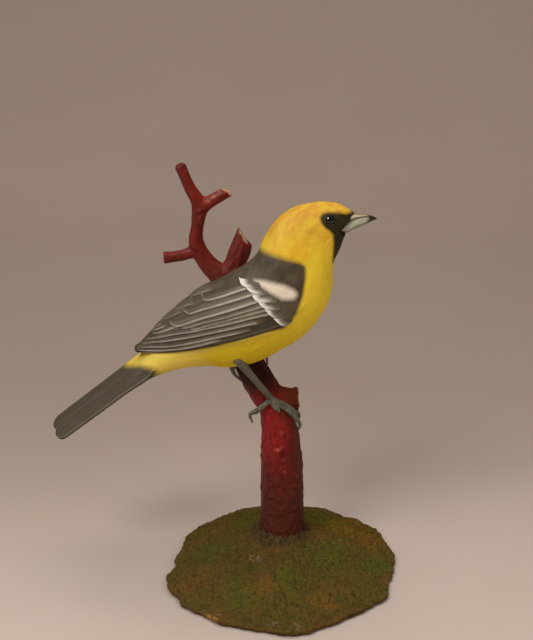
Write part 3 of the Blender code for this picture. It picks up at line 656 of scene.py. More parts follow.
def branch_notes(points):
    """Along the branch and the way round it in mm, the nearest row of its spine, and the way off it."""
    spots, lengths = [], []
    for number, route in enumerate([spine_of(MAIN, 500)] + [spine_of(rows, 90) for rows in SHOOTS]):
        spots.append(route)
        lengths.append(lengths_along(route[:, :3]) + number * 0.31)
    spots, lengths = np.concatenate(spots), np.concatenate(lengths)
    tree = KDTree(len(spots))
    for index, spot in enumerate(spots):
        tree.insert(spot[:3], index)
    tree.balance()
    nearest = np.array([tree.find(point)[1] for point in points])
    off = points - spots[nearest, :3]
    return np.stack((lengths[nearest], off[:, 0], off[:, 1]), axis=1) / MM, spots[nearest], off


def knot(points, centre, radius, height):
    """A ringed swelling on the post: how much it lifts the bark."""
    gap = np.linalg.norm((points - centre) * (1, 0.8, 0.72), axis=1) / radius
    return height * (bell(gap - 0.78, 0.22) - 0.9 * bell(gap, 0.42) + 0.5 * bell(gap, 0.95))


def splinter(degrees, share):
    slope = 0.5 + 0.5 * np.cos(np.radians(degrees - 95))
    return smoothstep(0.55, 1.0, share) * (7.4 * slope ** 2.2 - 0.8 + 0.6 * wave(degrees * 0.05, 3.1, 0.7))


def torn(degrees, share):
    return smoothstep(0.75, 1.0, share) * 1.2 * wave(degrees * 0.045, 8.1, 2.7)


def split(degrees, share):
    back = np.maximum(0.0, np.cos(np.radians(degrees - 90)))
    return smoothstep(0.7, 1.0, share) * (1.4 * wave(degrees * 0.06, 4.4, 6.1) - 2.6 * back)


def branch():
    shapes = [bar("main", MAIN, 40, 360), bar("knuckle_stub", KNUCKLE_STUB, 40, 40, torn),
              bar("broken_stub", BROKEN_STUB, 40, 50, splinter), bar("left_twig", LEFT_TWIG, 28, 40),
              bar("right_twig", RIGHT_TWIG, 28, 40, split), bar("crook", CROOK, 28, 20)]
    shape = fused("red_branch", shapes, BRANCH_GRAIN, 6)
    points = read_points(shape)
    soft = np.zeros(len(points))
    for *fork, reach in FORKS:
        soft = np.maximum(soft, 1 - smoothstep(0.45, 1.0, np.linalg.norm(points - fork, axis=1) / reach))
    eased(shape, soft, 40)
    points, normals = read_points(shape), read_points(shape, "normal")
    bark, spine, off = branch_notes(points)
    around = off / np.maximum(np.linalg.norm(off, axis=1), 1e-6)[:, None]
    lift = []
    for along, (x, y, z), radius, spot in zip(bark[:, 0], around, spine[:, 3], points):
        burr = wave(*spot * 420) * (1 - 0.6 * smoothstep(0.092, 0.112, spot[2]))
        lift.append(min(1.0, radius / THICK_BARK) * (
            0.5 * wave(along * 0.035, x * 2.1 + 5, y * 2.1 + z) + 0.42 * wave(along * 0.14, x * 4.6, y * 4.6)
            + 0.14 * wave(along * 0.35, x * 13, y * 13) + 0.36 * burr))
    lift = np.array(lift) + 0.4 * bell(points[:, 2] - KNUCKLE_HEIGHT, 0.004) * smoothstep(0, 1, around[:, 0])
    lift *= MM
    for *place, radius, height in KNOTS:
        lift += knot(points, place, radius, height)
    set_points(shape, points + normals * lift[:, None])
    normals = read_points(shape, "normal")
    # bare wood shows on the cut and broken ends, and the same pale wood colour goes on a strip of the right
    # twig
    strip = (points - RIGHT_TWIG[-1, :3] - (-0.002, 0, 0.003)) / (0.003, 0.003, 0.0013)
    bare = 0.9 * bell(np.linalg.norm(strip, axis=1))
    for rows, strength in ((KNUCKLE_STUB, 1), (RIGHT_TWIG, 1), (LEFT_TWIG, 0.25), (MAIN, 0.1),
                           (BROKEN_STUB, 0.75 * (1 - smoothstep(-0.0172, -0.0155, points[:, 0])))):
        end, radius = rows[-1, :3], rows[-1, 3]
        way = (end - rows[-2, :3]) / np.linalg.norm(end - rows[-2, :3])
        past = (points - end) @ way
        beside = np.linalg.norm(points - end - past[:, None] * way, axis=1)
        near = (beside < radius * 1.6) & (past > -0.004)
        bare += np.where(near, smoothstep(0.3, 0.65, normals @ way), 0) * strength
    sheen = sum(row[6] * bell(np.linalg.norm((points - row[:3]) / row[3:6], axis=1)) for row in SPOTS_AND_SHINE)
    note(shape, bark=bark, bare=np.clip(bare, 0, 1), sheen=np.clip(sheen, -1, 1))
    return shape


# Legs


TOE = 1.45 * MM
SHANK = 1.75 * MM
THIGH = 2.55 * MM
SCUTE = 2.6 * MM
# Share of a toe that is claw, and the radius of the claw's tip
CLAW = 0.4
CLAW_TIP = 0.3 * MM
# Toes: points beside the branch as degrees round it, mm below the heel and mm off the bark
NEAR_TOES = (((37, 4.8, 2.2), (60, 10.2, 2.2), (69, 15.2, 3.4), (70, 18.8, 1)),
    ((34, 2.4, 2.2), (60, 6.2, 2.2), (82, 11, 3.2), (84, 15, 1)),
    ((10, 2.8, 1.8), (13, 5.2, 1.8), (15, 7, 1)),
    ((-26, 3.6, 2.2), (-50, 6.6, 3.4), (-64, 9, 6.2), (-69, 14, 5)))
FAR_TOES = (((28, -3, 1.9), (56, -3.4, 2.2), (80, -2, 3), (88, 1, 1.2)),
    ((26, -3, 1.9), (58, -1.6, 2.2), (82, 1.8, 3.2), (86, 6, 1.4)),
    ((14, -1, 1.9), (36, -1.6, 1.9), (58, -2, 2.2), (72, -1, 1)),
    ((-36, 1.6, 1.9), (-62, 5, 2.2), (-74, 9.2, 2.4), (-80, 12.6, 0.8)))
BRANCH_SPOTS = np.concatenate([spine_of(MAIN, 240)] + [spine_of(rows, 30) for rows in SHOOTS])


def on_bark(heel_height, turn, drop, off):
    """A point beside the branch: degrees round it from its near side, mm below the heel, mm off the bark."""
    height, turn = heel_height - drop * MM, radians(turn)
    main = BRANCH_SPOTS[:241]
    spot = main[np.argmin(np.abs(main[:, 2] - height))]
    reach = spot[3] + off * MM
    return np.array((spot[0] + sin(turn) * reach, spot[1] - cos(turn) * reach, height))


def clear_of_branch(point, radius):
    for _ in range(4):
        off = point - BRANCH_SPOTS[:, :3]
        depth = np.linalg.norm(off, axis=1) - BRANCH_SPOTS[:, 3]
        index = np.argmin(depth)
        if depth[index] >= radius:
            break
        way = off[index] / np.linalg.norm(off[index])
        point = BRANCH_SPOTS[index, :3] + way * (BRANCH_SPOTS[index, 3] + radius)
    return point


def digit(points, joints):
    """A toe with swollen joints that ends in a smooth curved claw."""
    rows = []
    shares = np.linspace(0, 1, 34)
    for share, spot in zip(shares, curve(np.array(points), shares)):
        thick = TOE * (1.04 - 0.16 * share) * (1 + 0.1 * cos(share * joints * 2 * pi / (1 - CLAW)))
        if share > 1 - CLAW:
            thick = CLAW_TIP + (TOE * 0.82 - CLAW_TIP) * ((1 - share) / CLAW) ** 0.8
        rows.append((*clear_of_branch(spot, thick * 0.96), thick))
    return bar("digit", np.array(rows), 18, 66)


def leg(name, hip, heel_height, heel_turn, toes):
    heel = clear_of_branch(on_bark(heel_height, heel_turn, 0, 2.05), TOE)
    long = np.linalg.norm(heel - hip)
    along = (heel - hip) / long
    shaft = []
    for share in np.linspace(0, 1, 60):
        scute = 1 + 0.03 * cos(share * 2 * pi * long / SCUTE)
        thick = 0.93 + 0.48 * max(0.0, 1 - share * 1.8) ** 1.4 + 0.1 * max(0.0, share - 0.85) / 0.15
        shaft.append((*(hip + (heel - hip) * share), SHANK * thick * scute))
    shapes = [bar("shaft", np.array(shaft), 24, 160), ball("thigh", hip, THIGH, 24, 16),
              ball("pad", heel + along * 0.2 * MM, TOE * 1.22, 24, 16)]
    shapes += [digit([heel] + [on_bark(heel_height, *place) for place in toe], joints)
               for toe, joints in zip(toes, (3, 2, 1, 2))]
    shape = fused(name, shapes, LEG_GRAIN, 3)
    points = read_points(shape)
    note(shape, shank=np.stack(((points - hip) @ along, points[:, 0], points[:, 1]), axis=1) / MM)
    return shape


# Mound


# Rim of the mound: degrees round it, share of the plain oval
RIM = table(2, (
    0, 1.015, 20, 1.03, 42, 1.05, 56, 1.01, 70, 1.03, 90, 0.98, 112, 1, 128, 0.935, 148, 0.95, 166, 0.92,
    180, 0.925, 196, 1.01, 214, 1.03, 236, 1.015, 262, 0.995, 278, 1.04, 292, 0.99, 308, 0.98, 328, 1.03,
    342, 0.985, 360, 1.015), 1)
# Lumps on the mound: x, y, radius and height in mm
HUMPS = table(4, (
    -12.5, 38, 2.6, 2.2, 16.5, 37, 2.4, 1.6, -28, 30, 6, 1, 30, 30, 8, 1.2,
    -1.2, -11.8, 2.2, -1.6), 1)
# Green, ochre and pinkish places of the moss: x, y and radius in mm
TINTS = ((25.6, -8.7, 13.5, -33.9, 1.8, 13.5, -17.7, -38.3, 13.5, 48.9, -6.8, 10.5, 2.2, -32.1, 10.5,
    26, 29, 13.5, -20, 24, 12), (48.1, 18.2, 12, -43.1, -25.2, 12, -7.8, -35.2, 9, 21.8, -41.4, 10.5,
    37.5, 20, 10.5, -33.5, -53.2, 7.5, 36, 42, 10.5), (0, 1.2, 4.5, -12.4, -14.1, 5.25, -3.9, -60.3, 3.75,
    8, -63, 4.5, 4.5, 0.5, 3, -30, -52, 3))


def rim_reach(turn):
    """How far the rim is from the mound's middle."""
    degrees = np.degrees(turn)
    index = np.searchsorted(RIM[:, 0], degrees, side="right")
    (start, low), (end, high) = RIM[index - 1], RIM[index]
    share = low + (high - low) * (1 - cos(pi * (degrees - start) / (end - start))) / 2
    x, y = cos(turn), sin(turn)
    return (share / hypot(x / MOUND_HALF_WIDTH, y / MOUND_HALF_DEPTH)
            + (1.4 * wave(x * 6, y * 6, 0.4) + 1.3 * wave(x * 15, y * 15, 2.4)) * MM)


def moss_base():
    """The mossy mound: crusty on top, scalloped and thin at the rim, hollowed for the post."""
    segments, rings = 620, 96
    points, notes = [], []
    for turn in circle(segments):
        way = np.array((cos(turn), sin(turn), 0.0))
        edge, inner = way * rim_reach(turn), POST_FOOT + way * POST * 0.96
        column = [edge * 0.975, edge * 0.992 + (0, 0, 0.9 * MM)]
        for share in np.linspace(1, 0, rings):
            spot = inner + (edge - inner) * share
            x, y, _ = spot / MM
            plain = 0.21 + 0.79 * share
            clump, crust = wave(x * 0.1, y * 0.1, 1.0), wave(x * 0.42, y * 0.42, 5.0)
            crumb = 0.5 - noise.voronoi(Vector((x * 0.62, y * 0.62, 2.0)))[0][0]
            pit = max(0.0, wave(x * 0.75 + 40, y * 0.75, 3.0) - 0.25)
            strength = min(1.0, (1 - share) * 14 + 0.35) * (1 - 0.65 * bell(share, 0.07))
            collar = bell(share, 0.11)
            lump = 0.35 + 0.9 * wave(x * 0.16, y * 0.16, 7.0) + 0.6 * wave(x * 0.5, y * 0.5, 4.0)
            grain = wave(x * 1.15, y * 1.15, 9.0)
            height = (3 + 14.5 * cos(plain * pi / 2) ** 1.3 + 3.4 * collar * lump
                      + 0.6 * sin(5 * turn + 7 * plain) * sin(pi * plain)
                      + strength * (0.9 * clump + 0.8 * crust + 0.5 * grain + 0.7 * crumb - 1.6 * pit))
            for hump_x, hump_y, radius, rise in HUMPS:
                height += rise * bell(hypot(x - hump_x, y - hump_y), radius)
            if share == 1:
                height = min(height, 2.4 + 0.8 * crust)
            column.append((spot[0], spot[1], height * MM))
            notes.append((share, collar, clump))
        points.append(column + [inner + (0, 0, 12.8 * MM)])
    shape = loft("mossy_mound", np.moveaxis(np.asarray(points), 0, 1))
    turf = np.moveaxis(np.reshape(notes, (segments, rings, 3)), 0, 1)
    first, last = np.tile((1, 0, 0), (2, segments, 1)), np.tile((0, 1, 0), (1, segments, 1))
    note(shape, turf=np.concatenate((first, turf, last)).reshape(-1, 3))
    flat = read_points(shape)[:, None, :2] / MM
    tints = []
    for spots in TINTS:
        spots = np.reshape(spots, (-1, 3))
        tints.append(bell(np.linalg.norm(flat - spots[:, :2], axis=2), spots[:, 2]).max(1))
    note(shape, tint=np.stack(tints, axis=1))
    return shape


# Materials


class Paint:
    """A material and short ways to add nodes to it. Colours are 8-bit ones."""

    def __init__(self, name, roughness=0.6, specular=0.18, coat=0.0, coat_roughness=0.1, ior=1.5):
        self.material = bpy.data.materials.new(name)
        self.material.use_nodes = True
        self.tree = self.material.node_tree
        self.shader = self.tree.nodes["Principled BSDF"]
        for socket, value in (("Roughness", roughness), ("Specular IOR Level", specular),
                              ("Coat Weight", coat), ("Coat Roughness", coat_roughness), ("IOR", ior)):
            self.set(socket, value)

    def set(self, socket, value):
        self.put(self.shader.inputs[socket], value)

    def put(self, socket, value):
        if isinstance(value, bpy.types.NodeSocket):
            self.tree.links.new(value, socket)
        elif socket.type == "RGBA":
            socket.default_value = (*srgb(value), 1.0)
        else:
            socket.default_value = value

    def node(self, kind, inputs=None, output=0, **settings):
        node = self.tree.nodes.new("ShaderNode" + kind)
        for name, value in settings.items():
            setattr(node, name, value)
        for socket, value in (inputs or {}).items():
            self.put(node.inputs[socket], value)
        return node.outputs[output]

    def read(self, name, output="Vector"):
        return self.node("Attribute", None, output, attribute_type="GEOMETRY", attribute_name=name)

    def value(self, name):
        return self.read(name, "Fac")

    def parts(self, vector):
        return self.node("SeparateXYZ", {0: vector}).node.outputs

    def place(self):
        return self.node("TexCoord", None, "Object")

    def noise(self, vector, scale, detail=3.0, roughness=0.55, warp=0.0):
        if isinstance(scale, tuple):
            vector, scale = self.node("VectorMath", {0: vector, 1: scale}, operation="MULTIPLY"), 1.0
        return self.node("TexNoise", {"Vector": vector, "Scale": scale, "Detail": detail,
                                      "Roughness": roughness, "Distortion": warp}, "Fac")

    def cells(self, vector, scale):
        return self.node("TexVoronoi", {"Vector": vector, "Scale": scale}, "Distance")

    def sum(self, first, second, operation="ADD"):
        return self.node("Math", {0: first, 1: second}, operation=operation)

    def times(self, first, second):
        return self.sum(first, second, "MULTIPLY")

    def swing(self, value, reach):
        """A noise value as one that swings round zero."""
        return self.times(self.sum(value, -0.5), reach)

    def ramp(self, value, low, high, start=0.0, end=1.0):
        return self.node("MapRange", {"Value": value, "From Min": low, "From Max": high, "To Min": start,
                                      "To Max": end}, "Result", interpolation_type="SMOOTHSTEP")

    def zone(self, spot, *ramps):
        """Where each of the ramps along an axis is on."""
        factor = 1.0
        for axis, low, high in ramps:
            factor = self.times(self.ramp(spot[axis], low, high), factor)
        return factor

    def mix(self, factor, first, second):
        return self.node("Mix", {"Factor": factor, 6: first, 7: second}, 2, data_type="RGBA")

    def blend(self, value, low, high, first, second):
        return self.mix(self.ramp(value, low, high), first, second)

    def coats(self, colour, *rows):
        """Tones laid over a colour. A row ends with the tone. One or two factors stand before it, and the
        last of them may be a value with the low end, the high end and the strength of its ramp."""
        for *parts, tone in rows:
            if len(parts) > 3:
                parts = [*parts[:-4], self.ramp(*parts[-4:-1], 0.0, parts[-1])]
            colour = self.mix(self.times(*parts) if len(parts) == 2 else parts[0], colour, tone)
        return colour

    def bump(self, height, distance, strength):
        self.set("Normal", self.node("Bump", {"Strength": strength, "Distance": distance, "Height": height}))


def srgb(colour):
    """Linear colour of an 8-bit one."""
    return [c / 3294.6 if c <= 10.3 else ((c / 255 + 0.055) / 1.055) ** 2.4 for c in colour]


def body_paint():
    p = Paint("bird_body_paint")
    flow, spot = p.read("flow"), p.parts(p.place())
    strokes = p.noise(flow, (0.45, 2.2, 2.2), 4.0, 0.6, 0.4)
    fine = p.noise(flow, (1.3, 6.5, 6.5), 3.0, 0.6)
    mottle = p.noise(flow, (0.16, 0.34, 0.34), 4.0, 0.6)
    blotch = p.noise(flow, 0.07, 2.0)
    speck = p.noise(flow, (0.55, 0.85, 0.85), 4.0, 0.7)
    ragged = p.sum(p.swing(strokes, 1.0), p.swing(mottle, 0.8))
    head, low = p.ramp(spot["Z"], 0.148, 0.176), p.ramp(spot["Z"], 0.156, 0.12)
    crown = p.times(p.ramp(spot["Z"], 0.17, 0.192), p.ramp(mottle, 0.25, 0.7, 0.45, 1.0))
    hem = p.value("hem")
    # orange crown, clear yellow cheek and nape, deeper yellow breast and belly, paler yellow on the upper
    # rear of the body
    yellow = p.coats(
        p.mix(crown, (240, 206, 56), (202, 144, 54)),
        (low, 0.85, (224, 194, 26)),
        (head, blotch, 0.44, 0.66, 0.5, (222, 160, 28)),
        (head, mottle, 0.5, 0.72, 0.35, (208, 142, 36)),
        (head, speck, 0.52, 0.72, 0.5, (200, 128, 36)),
        (mottle, 0.46, 0.26, 0.4, (212, 192, 36)),
        (fine, 0.52, 0.8, 0.25, (240, 212, 84)),
        (strokes, 0.54, 0.74, 0.18, (192, 148, 14)),
        (low, mottle, 0.5, 0.66, 0.4, (206, 150, 22)),
        (low, speck, 0.56, 0.72, 0.35, (186, 136, 16)),
        (p.zone(spot, ("X", -0.03, -0.048), ("Z", 0.108, 0.116)), 0.7, (250, 222, 106)),
        (p.value("fold"), 0.35, (238, 206, 84)),
        # painted highlight on the yellow flank just below the wing's lower edge
        (hem, 0.0, -1.0, 0.55, (255, 234, 120)))
    # soft dark mantle and wings
    dark = p.coats(
        p.blend(mottle, 0.35, 0.7, (66, 56, 40), (92, 79, 62)),
        (fine, 0.45, 0.75, 0.4, (110, 97, 80)),
        (strokes, 0.55, 0.75, 0.25, (62, 54, 36)),
        # painted shadow line along the wing's lower edge
        (hem, 0.0, 1.0, 0.85, (44, 34, 20)))
    # cream patch, black mask round the eye and down the throat, grey root of the tail
    colour = p.coats(
        yellow,
        (p.ramp(p.sum(p.value("coat"), ragged), -2.0, 2.4), dark),
        (p.ramp(p.sum(p.value("patch"), ragged), -1.3, 2.0),
         p.blend(strokes, 0.4, 0.7, (236, 220, 200), (222, 206, 184))),
        (p.ramp(p.sum(p.value("mask"), p.times(ragged, 0.7)), -1.2, 0.9),
         p.blend(mottle, 0.4, 0.7, (38, 34, 10), (58, 50, 28))),
        (p.ramp(p.sum(p.value("rump"), p.times(ragged, 1.6)), -3.0, 3.0),
         p.blend(strokes, 0.4, 0.7, (88, 77, 63), (74, 65, 52))))
    p.set("Base Color", colour)
    p.set("Roughness", p.ramp(mottle, 0.3, 0.7, 0.52, 0.68))
    p.bump(p.sum(p.times(strokes, 0.7), p.times(fine, 0.3)), 0.00018, 0.7)
    return p.material


def feather_paint(name, rim_width, root_pale, tip_pale, wash, shade, tip_white=0.0):
    """Grey-brown vanes with a pale rim along their lower edge, brightest near the root, and a wash of the
    same tone inside it, with painted shadow below the next feather's rim and at the root. shade says how
    far from the rim the next feather's painted shadow starts."""
    p = Paint(name)
    vane = p.parts(p.read("vane"))
    u, far, tone = vane["X"], vane["Y"], vane["Z"]
    grain = p.noise(p.place(), 900, 4.0, 0.6)
    drift = p.noise(p.place(), 170, 3.0)
    streak = p.noise(p.read("vane"), (6.0, 1.4, 20.0), 4.0, 0.65, 0.3)
    away = p.sum(far, p.swing(drift, 0.5))
    rim = p.times(p.ramp(away, rim_width, rim_width * 0.15), p.ramp(u, 0.2, 0.62, root_pale, tip_pale))
    rim = p.times(rim, p.times(p.ramp(tone, 0.1, 0.18, 0.2, 1.0), p.ramp(grain, 0.25, 0.55, 0.8, 1.0)))
    colour = p.coats(
        p.blend(streak, 0.35, 0.7, (77, 67, 52), (107, 96, 81)),
        (grain, 0.45, 0.75, 0.4, (124, 111, 95)),
        (drift, 0.55, 0.7, 0.35, (66, 62, 34)),
        # painted shadow below the rim of the next feather up
        (away, shade, shade * 1.8, 0.6, (50, 42, 28)),
        # painted shade at the root, where the feather runs under the coverts
        (u, 0.07, 0.0, 0.6, (50, 42, 28)),
        (p.ramp(away, 2.8, 0.2), u, 0.45, 0.12, wash, (176, 162, 138)),
        (rim, (202, 196, 182)))
    if tip_white:
        tip = p.times(p.ramp(u, 0.34, 0.62), p.ramp(away, 3.4, 0.8))
        line = p.times(p.ramp(away, 1.3, 0.25), p.ramp(u, 0.26, 0.6, 0.0, 0.6))
        colour = p.mix(p.sum(p.times(tip, tip_white), line, "MAXIMUM"), colour, (226, 221, 210))
    # painted shadow line along the rim of the lowest flight feather, where the wing's lower edge stands off
    # the flank
    lowest = p.times(p.ramp(tone, 0.15, 0.12), p.ramp(tone, 0.0, 0.08))
    p.set("Base Color", p.coats(
        colour,
        (lowest, p.ramp(away, 1.5, 0.7, 0.3, 0.9), (46, 36, 20)),
        (p.ramp(tone, 0.0, -0.25), (44, 36, 22))))
    barbs = p.sum(p.sum(p.times(u, 150.0), p.times(far, 3.0)), 0.0, "SINE")
    p.bump(p.sum(p.times(barbs, 0.15), p.times(grain, 0.8)), 0.0001, 0.6)
    return p.material


def tail_paint():
    p = Paint("tail_paint")
    vane = p.parts(p.read("vane"))
    u, side = vane["X"], p.sum(vane["Y"], 0.0, "ABSOLUTE")
    grain = p.noise(p.place(), 900, 4.0, 0.6)
    drift = p.noise(p.place(), 150, 3.0)
    streak = p.noise(p.read("vane"), (4.0, 5.0, 20.0), 4.0, 0.65)
    inner = p.times(p.ramp(side, 0.8, 0.88), p.ramp(side, 0.945, 0.9))
    rim = p.sum(p.ramp(side, 0.93, 0.97), p.ramp(u, 0.984, 0.994), "MAXIMUM")
    grey = p.coats(
        p.blend(streak, 0.35, 0.68, (70, 60, 47), (84, 73, 60)),
        (drift, 0.5, 0.68, 0.4, (70, 66, 42)),
        (grain, 0.45, 0.75, 0.25, (98, 86, 72)),
        (inner, 0.35, (140, 126, 106)),
        (rim, 0.75, (50, 40, 22)))
    yellow = p.blend(streak, 0.35, 0.7, (226, 194, 66), (210, 174, 60))
    p.set("Base Color", p.blend(p.sum(p.value("rump"), p.swing(streak, 3.0)), -3.0, 3.0, yellow, grey))
    barbs = p.sum(p.sum(p.times(u, 230.0), p.times(side, 10.0)), 0.0, "SINE")
    p.bump(p.sum(p.times(barbs, 0.1), p.times(grain, 0.7)), 0.0001, 0.5)
    return p.material


def horn_paint(name, base, shade, edge, outer, gape):
    """Bill paint: dark on the gape and towards the outer edge, with a dark tip."""
    p = Paint(name, roughness=0.45, specular=0.4)
    horn = p.parts(p.read("horn"))
    smear = p.noise(p.place(), (260, 900, 900), 4.0, 0.6)
    ragged = p.swing(smear, 0.3)
    height = p.sum(horn["Y"], ragged)
    p.set("Base Color", p.coats(
        p.blend(smear, 0.35, 0.7, base, shade),
        (height, *outer, 0.85, edge),
        (height, -0.62, -0.9, gape, (66, 56, 36)),
        (p.ramp(p.sum(horn["X"], p.times(ragged, 0.3)), 2.86, 3.0), (58, 40, 24))))
    p.bump(smear, 0.0001, 0.5)
    return p.material


def eye_glass():
    p = Paint("eye_glass", roughness=0.03, specular=0.5, ior=1.6)
    spot = p.parts(p.place())
    off = [p.sum(spot[axis], -float(from_perch(*EYE)[index])) for axis, index in (("X", 0), ("Z", 2))]
    reach = p.sum(p.sum(*(p.times(way, way) for way in off)), 0.5, "POWER")
    iris = p.blend(p.noise(p.place(), 2500, 2.0), 0.3, 0.7, (14, 11, 6), (22, 17, 9))
    p.set("Base Color", p.blend(reach, 0.0014, 0.0018, (4, 3, 3), iris))
    return p.material


def lid_paint():
    p = Paint("eyelid_paint", roughness=0.5, specular=0.4)
    grain = p.noise(p.place(), 1800, 3.0)
    p.set("Base Color", p.blend(grain, 0.35, 0.7, (34, 30, 20), (50, 44, 33)))
    p.bump(grain, 0.0001, 0.5)
    return p.material


def leg_paint():
    p = Paint("leg_paint", roughness=0.42, specular=0.5)
    place = p.place()
    grain = p.noise(place, 900, 4.0, 0.6)
    scutes = p.sum(p.times(p.parts(p.read("shank"))["X"], 2.417), 0.0, "SINE")
    p.set("Base Color", p.coats(
        p.blend(p.noise(place, 240, 3.0), 0.35, 0.68, (84, 80, 66), (112, 108, 90)),
        (grain, 0.5, 0.75, 0.5, (138, 132, 112)),
        (grain, 0.46, 0.28, 0.7, (44, 40, 30)),
        (scutes, -0.6, -0.98, 0.35, (50, 46, 36))))
    p.bump(p.sum(p.times(p.cells(place, 900), 0.6), p.times(grain, 0.5)), 0.00018, 0.7)
    return p.material


def branch_paint():
    p = Paint("branch_paint", roughness=0.5, specular=0.22, coat=0.04, coat_roughness=0.3)
    bark, spot, sheen = p.read("bark"), p.parts(p.place()), p.value("sheen")
    streak = p.noise(bark, (0.1, 0.45, 0.45), 5.0, 0.62, 0.6)
    grain = p.noise(bark, (0.35, 1.6, 1.6), 4.0, 0.6)
    blot = p.noise(bark, 0.11, 3.0)
    speck = p.noise(bark, 0.9, 2.0)
    rough = p.noise(bark, 0.36, 4.0, 0.7)
    post = p.ramp(spot["Z"], 0.112, 0.092)
    crimson = p.zone(spot, ("Z", 0.046, 0.074), ("Z", 0.1, 0.088), ("X", 0.01, -0.004))
    # the post's right side is painted darker brown: partly its own brown, partly painted shade on the side
    # away from the light
    brown = p.zone(spot, ("X", 0.002, 0.0115), ("Z", 0.09, 0.07))
    # painted shadow of the bird's belly on the near side of the branch below it
    under = p.zone(spot, ("Z", 0.091, 0.104), ("Z", 0.135, 0.12), ("Y", 0.02, 0.012))
    stump = p.zone(spot, ("X", -0.006, 0.004), ("Z", 0.078, 0.086))
    colour = p.coats(
        p.blend(streak, 0.32, 0.68, (86, 20, 12), (128, 28, 20)),
        (blot, 0.48, 0.7, 0.5, (84, 38, 22)),
        (grain, 0.5, 0.72, 0.3, (146, 52, 38)),
        (grain, 0.42, 0.22, 0.5, (58, 18, 10)),
        (crimson, p.ramp(streak, 0.3, 0.6, 0.25, 0.85), (168, 24, 32)),
        (spot["Z"], 0.066, 0.026, 0.75, (80, 38, 26)),
        (speck, 0.7, 0.78, 0.3, (176, 110, 90)),
        # partly painted shade on the post's right side
        (brown, 0.55, (58, 28, 10)),
        # painted shadow under the belly
        (under, 0.88, (26, 8, 3)),
        (stump, 0.8, (92, 36, 14)),
        (post, rough, 0.47, 0.33, 0.42, (50, 16, 6)),
        (post, rough, 0.57, 0.72, 0.35, (168, 66, 52)),
        (spot["Z"], 0.13, 0.15, 0.08, (156, 62, 44)),
        (sheen, 0.0, -1.0, 0.75, (70, 14, 12)),
        # painted highlights on the knots and twigs, partly pale bumps
        (p.ramp(sheen, 0.0, 1.0), p.ramp(rough, 0.34, 0.58, 0.15, 0.7), (186, 92, 76)))
    wood = p.blend(grain, 0.35, 0.7, (198, 164, 126), (140, 96, 66))
    p.set("Base Color", p.blend(p.sum(p.value("bare"), p.swing(speck, 0.6)), 0.34, 0.58, colour, wood))
    p.set("Roughness", p.ramp(streak, 0.3, 0.7, 0.42, 0.6))
    relief = p.sum(p.sum(p.times(streak, 0.7), p.times(grain, 0.6)), p.times(p.times(rough, 0.8), post))
    p.bump(relief, 0.0009, 0.8)
    return p.material


def moss_paint():
    p = Paint("moss_paint", roughness=0.85, specular=0.2)
    place, turf, tint = p.place(), p.parts(p.read("turf")), p.parts(p.read("tint"))
    rim, collar = turf["X"], turf["Y"]
    patch = p.noise(place, 62, 3.0, 0.6)
    warm = p.noise(place, 130, 5.0, 0.68, 0.5)
    crumb = p.noise(place, 560, 4.0, 0.72)
    pits = p.cells(place, 620)
    broken = p.swing(warm, 3.2)
    # pale ochre flecks near the rim, at the ochre places
    rim_flecks = p.times(p.ramp(rim, 0.968, 0.988), p.ramp(tint["Y"], 0.6, 0.9))
    p.set("Base Color", p.coats(
        p.blend(patch, 0.36, 0.58, (100, 73, 28), (88, 74, 22)),
        (patch, 0.58, 0.72, 0.4, (70, 82, 10)),
        (warm, 0.54, 0.68, 0.55, (122, 76, 26)),
        (warm, 0.47, 0.34, 0.5, (56, 58, 10)),
        (p.sum(tint["X"], broken), 0.25, 1.0, 0.4, (72, 92, 6)),
        (p.sum(tint["Y"], broken), 0.25, 1.0, 0.4, (128, 84, 28)),
        (crumb, 0.5, 0.34, 0.6, (34, 26, 4)),
        (crumb, 0.54, 0.72, 0.45, (128, 108, 46)),
        (p.noise(place, 1300, 2.0), 0.6, 0.72, 0.35, (140, 112, 66)),
        (pits, 0.62, 0.9, 0.35, (30, 22, 4)),
        (p.sum(tint["Z"], p.swing(crumb, 3.2)), 0.6, 1.05, 0.32, (158, 124, 100)),
        (p.ramp(rim, 0.97, 0.998), p.ramp(warm, 0.4, 0.6, 0.05, 0.5), (104, 64, 28)),
        (rim_flecks, p.ramp(crumb, 0.4, 0.6, 0.2, 0.9), (176, 130, 64)),
        # painted shade round the foot of the post, where it meets the moss
        (collar, 0.02, 0.75, 0.45, (46, 36, 14)),
        (collar, crumb, 0.42, 0.62, 0.45, (108, 86, 66)),
        (collar, warm, 0.56, 0.4, 0.35, (38, 28, 10))))
    p.bump(p.sum(crumb, p.times(pits, -0.6)), 0.0012, 1.0)
    return p.material


def dress(shape, material):
    shape.data.materials.clear()
    shape.data.materials.append(material)
    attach(shape, "root")
    return shape


# Lights: name, place, size in metres, watts
LIGHTS = (("key", (-0.58, -0.78, 1.12), 0.45, 8.8), ("fill", (0.7, -0.75, 0.8), 0.6, 3.6),
          ("top", (0.0, 0.1, 1.5), 1.2, 11.5), ("catch", (-0.74, -0.29, 0.8), 0.28, 12.0))
ROOM = 0.14
CAMERA_PLACE = (-0.007, -0.6475, 0.366)
CAMERA_TILT = 19.5


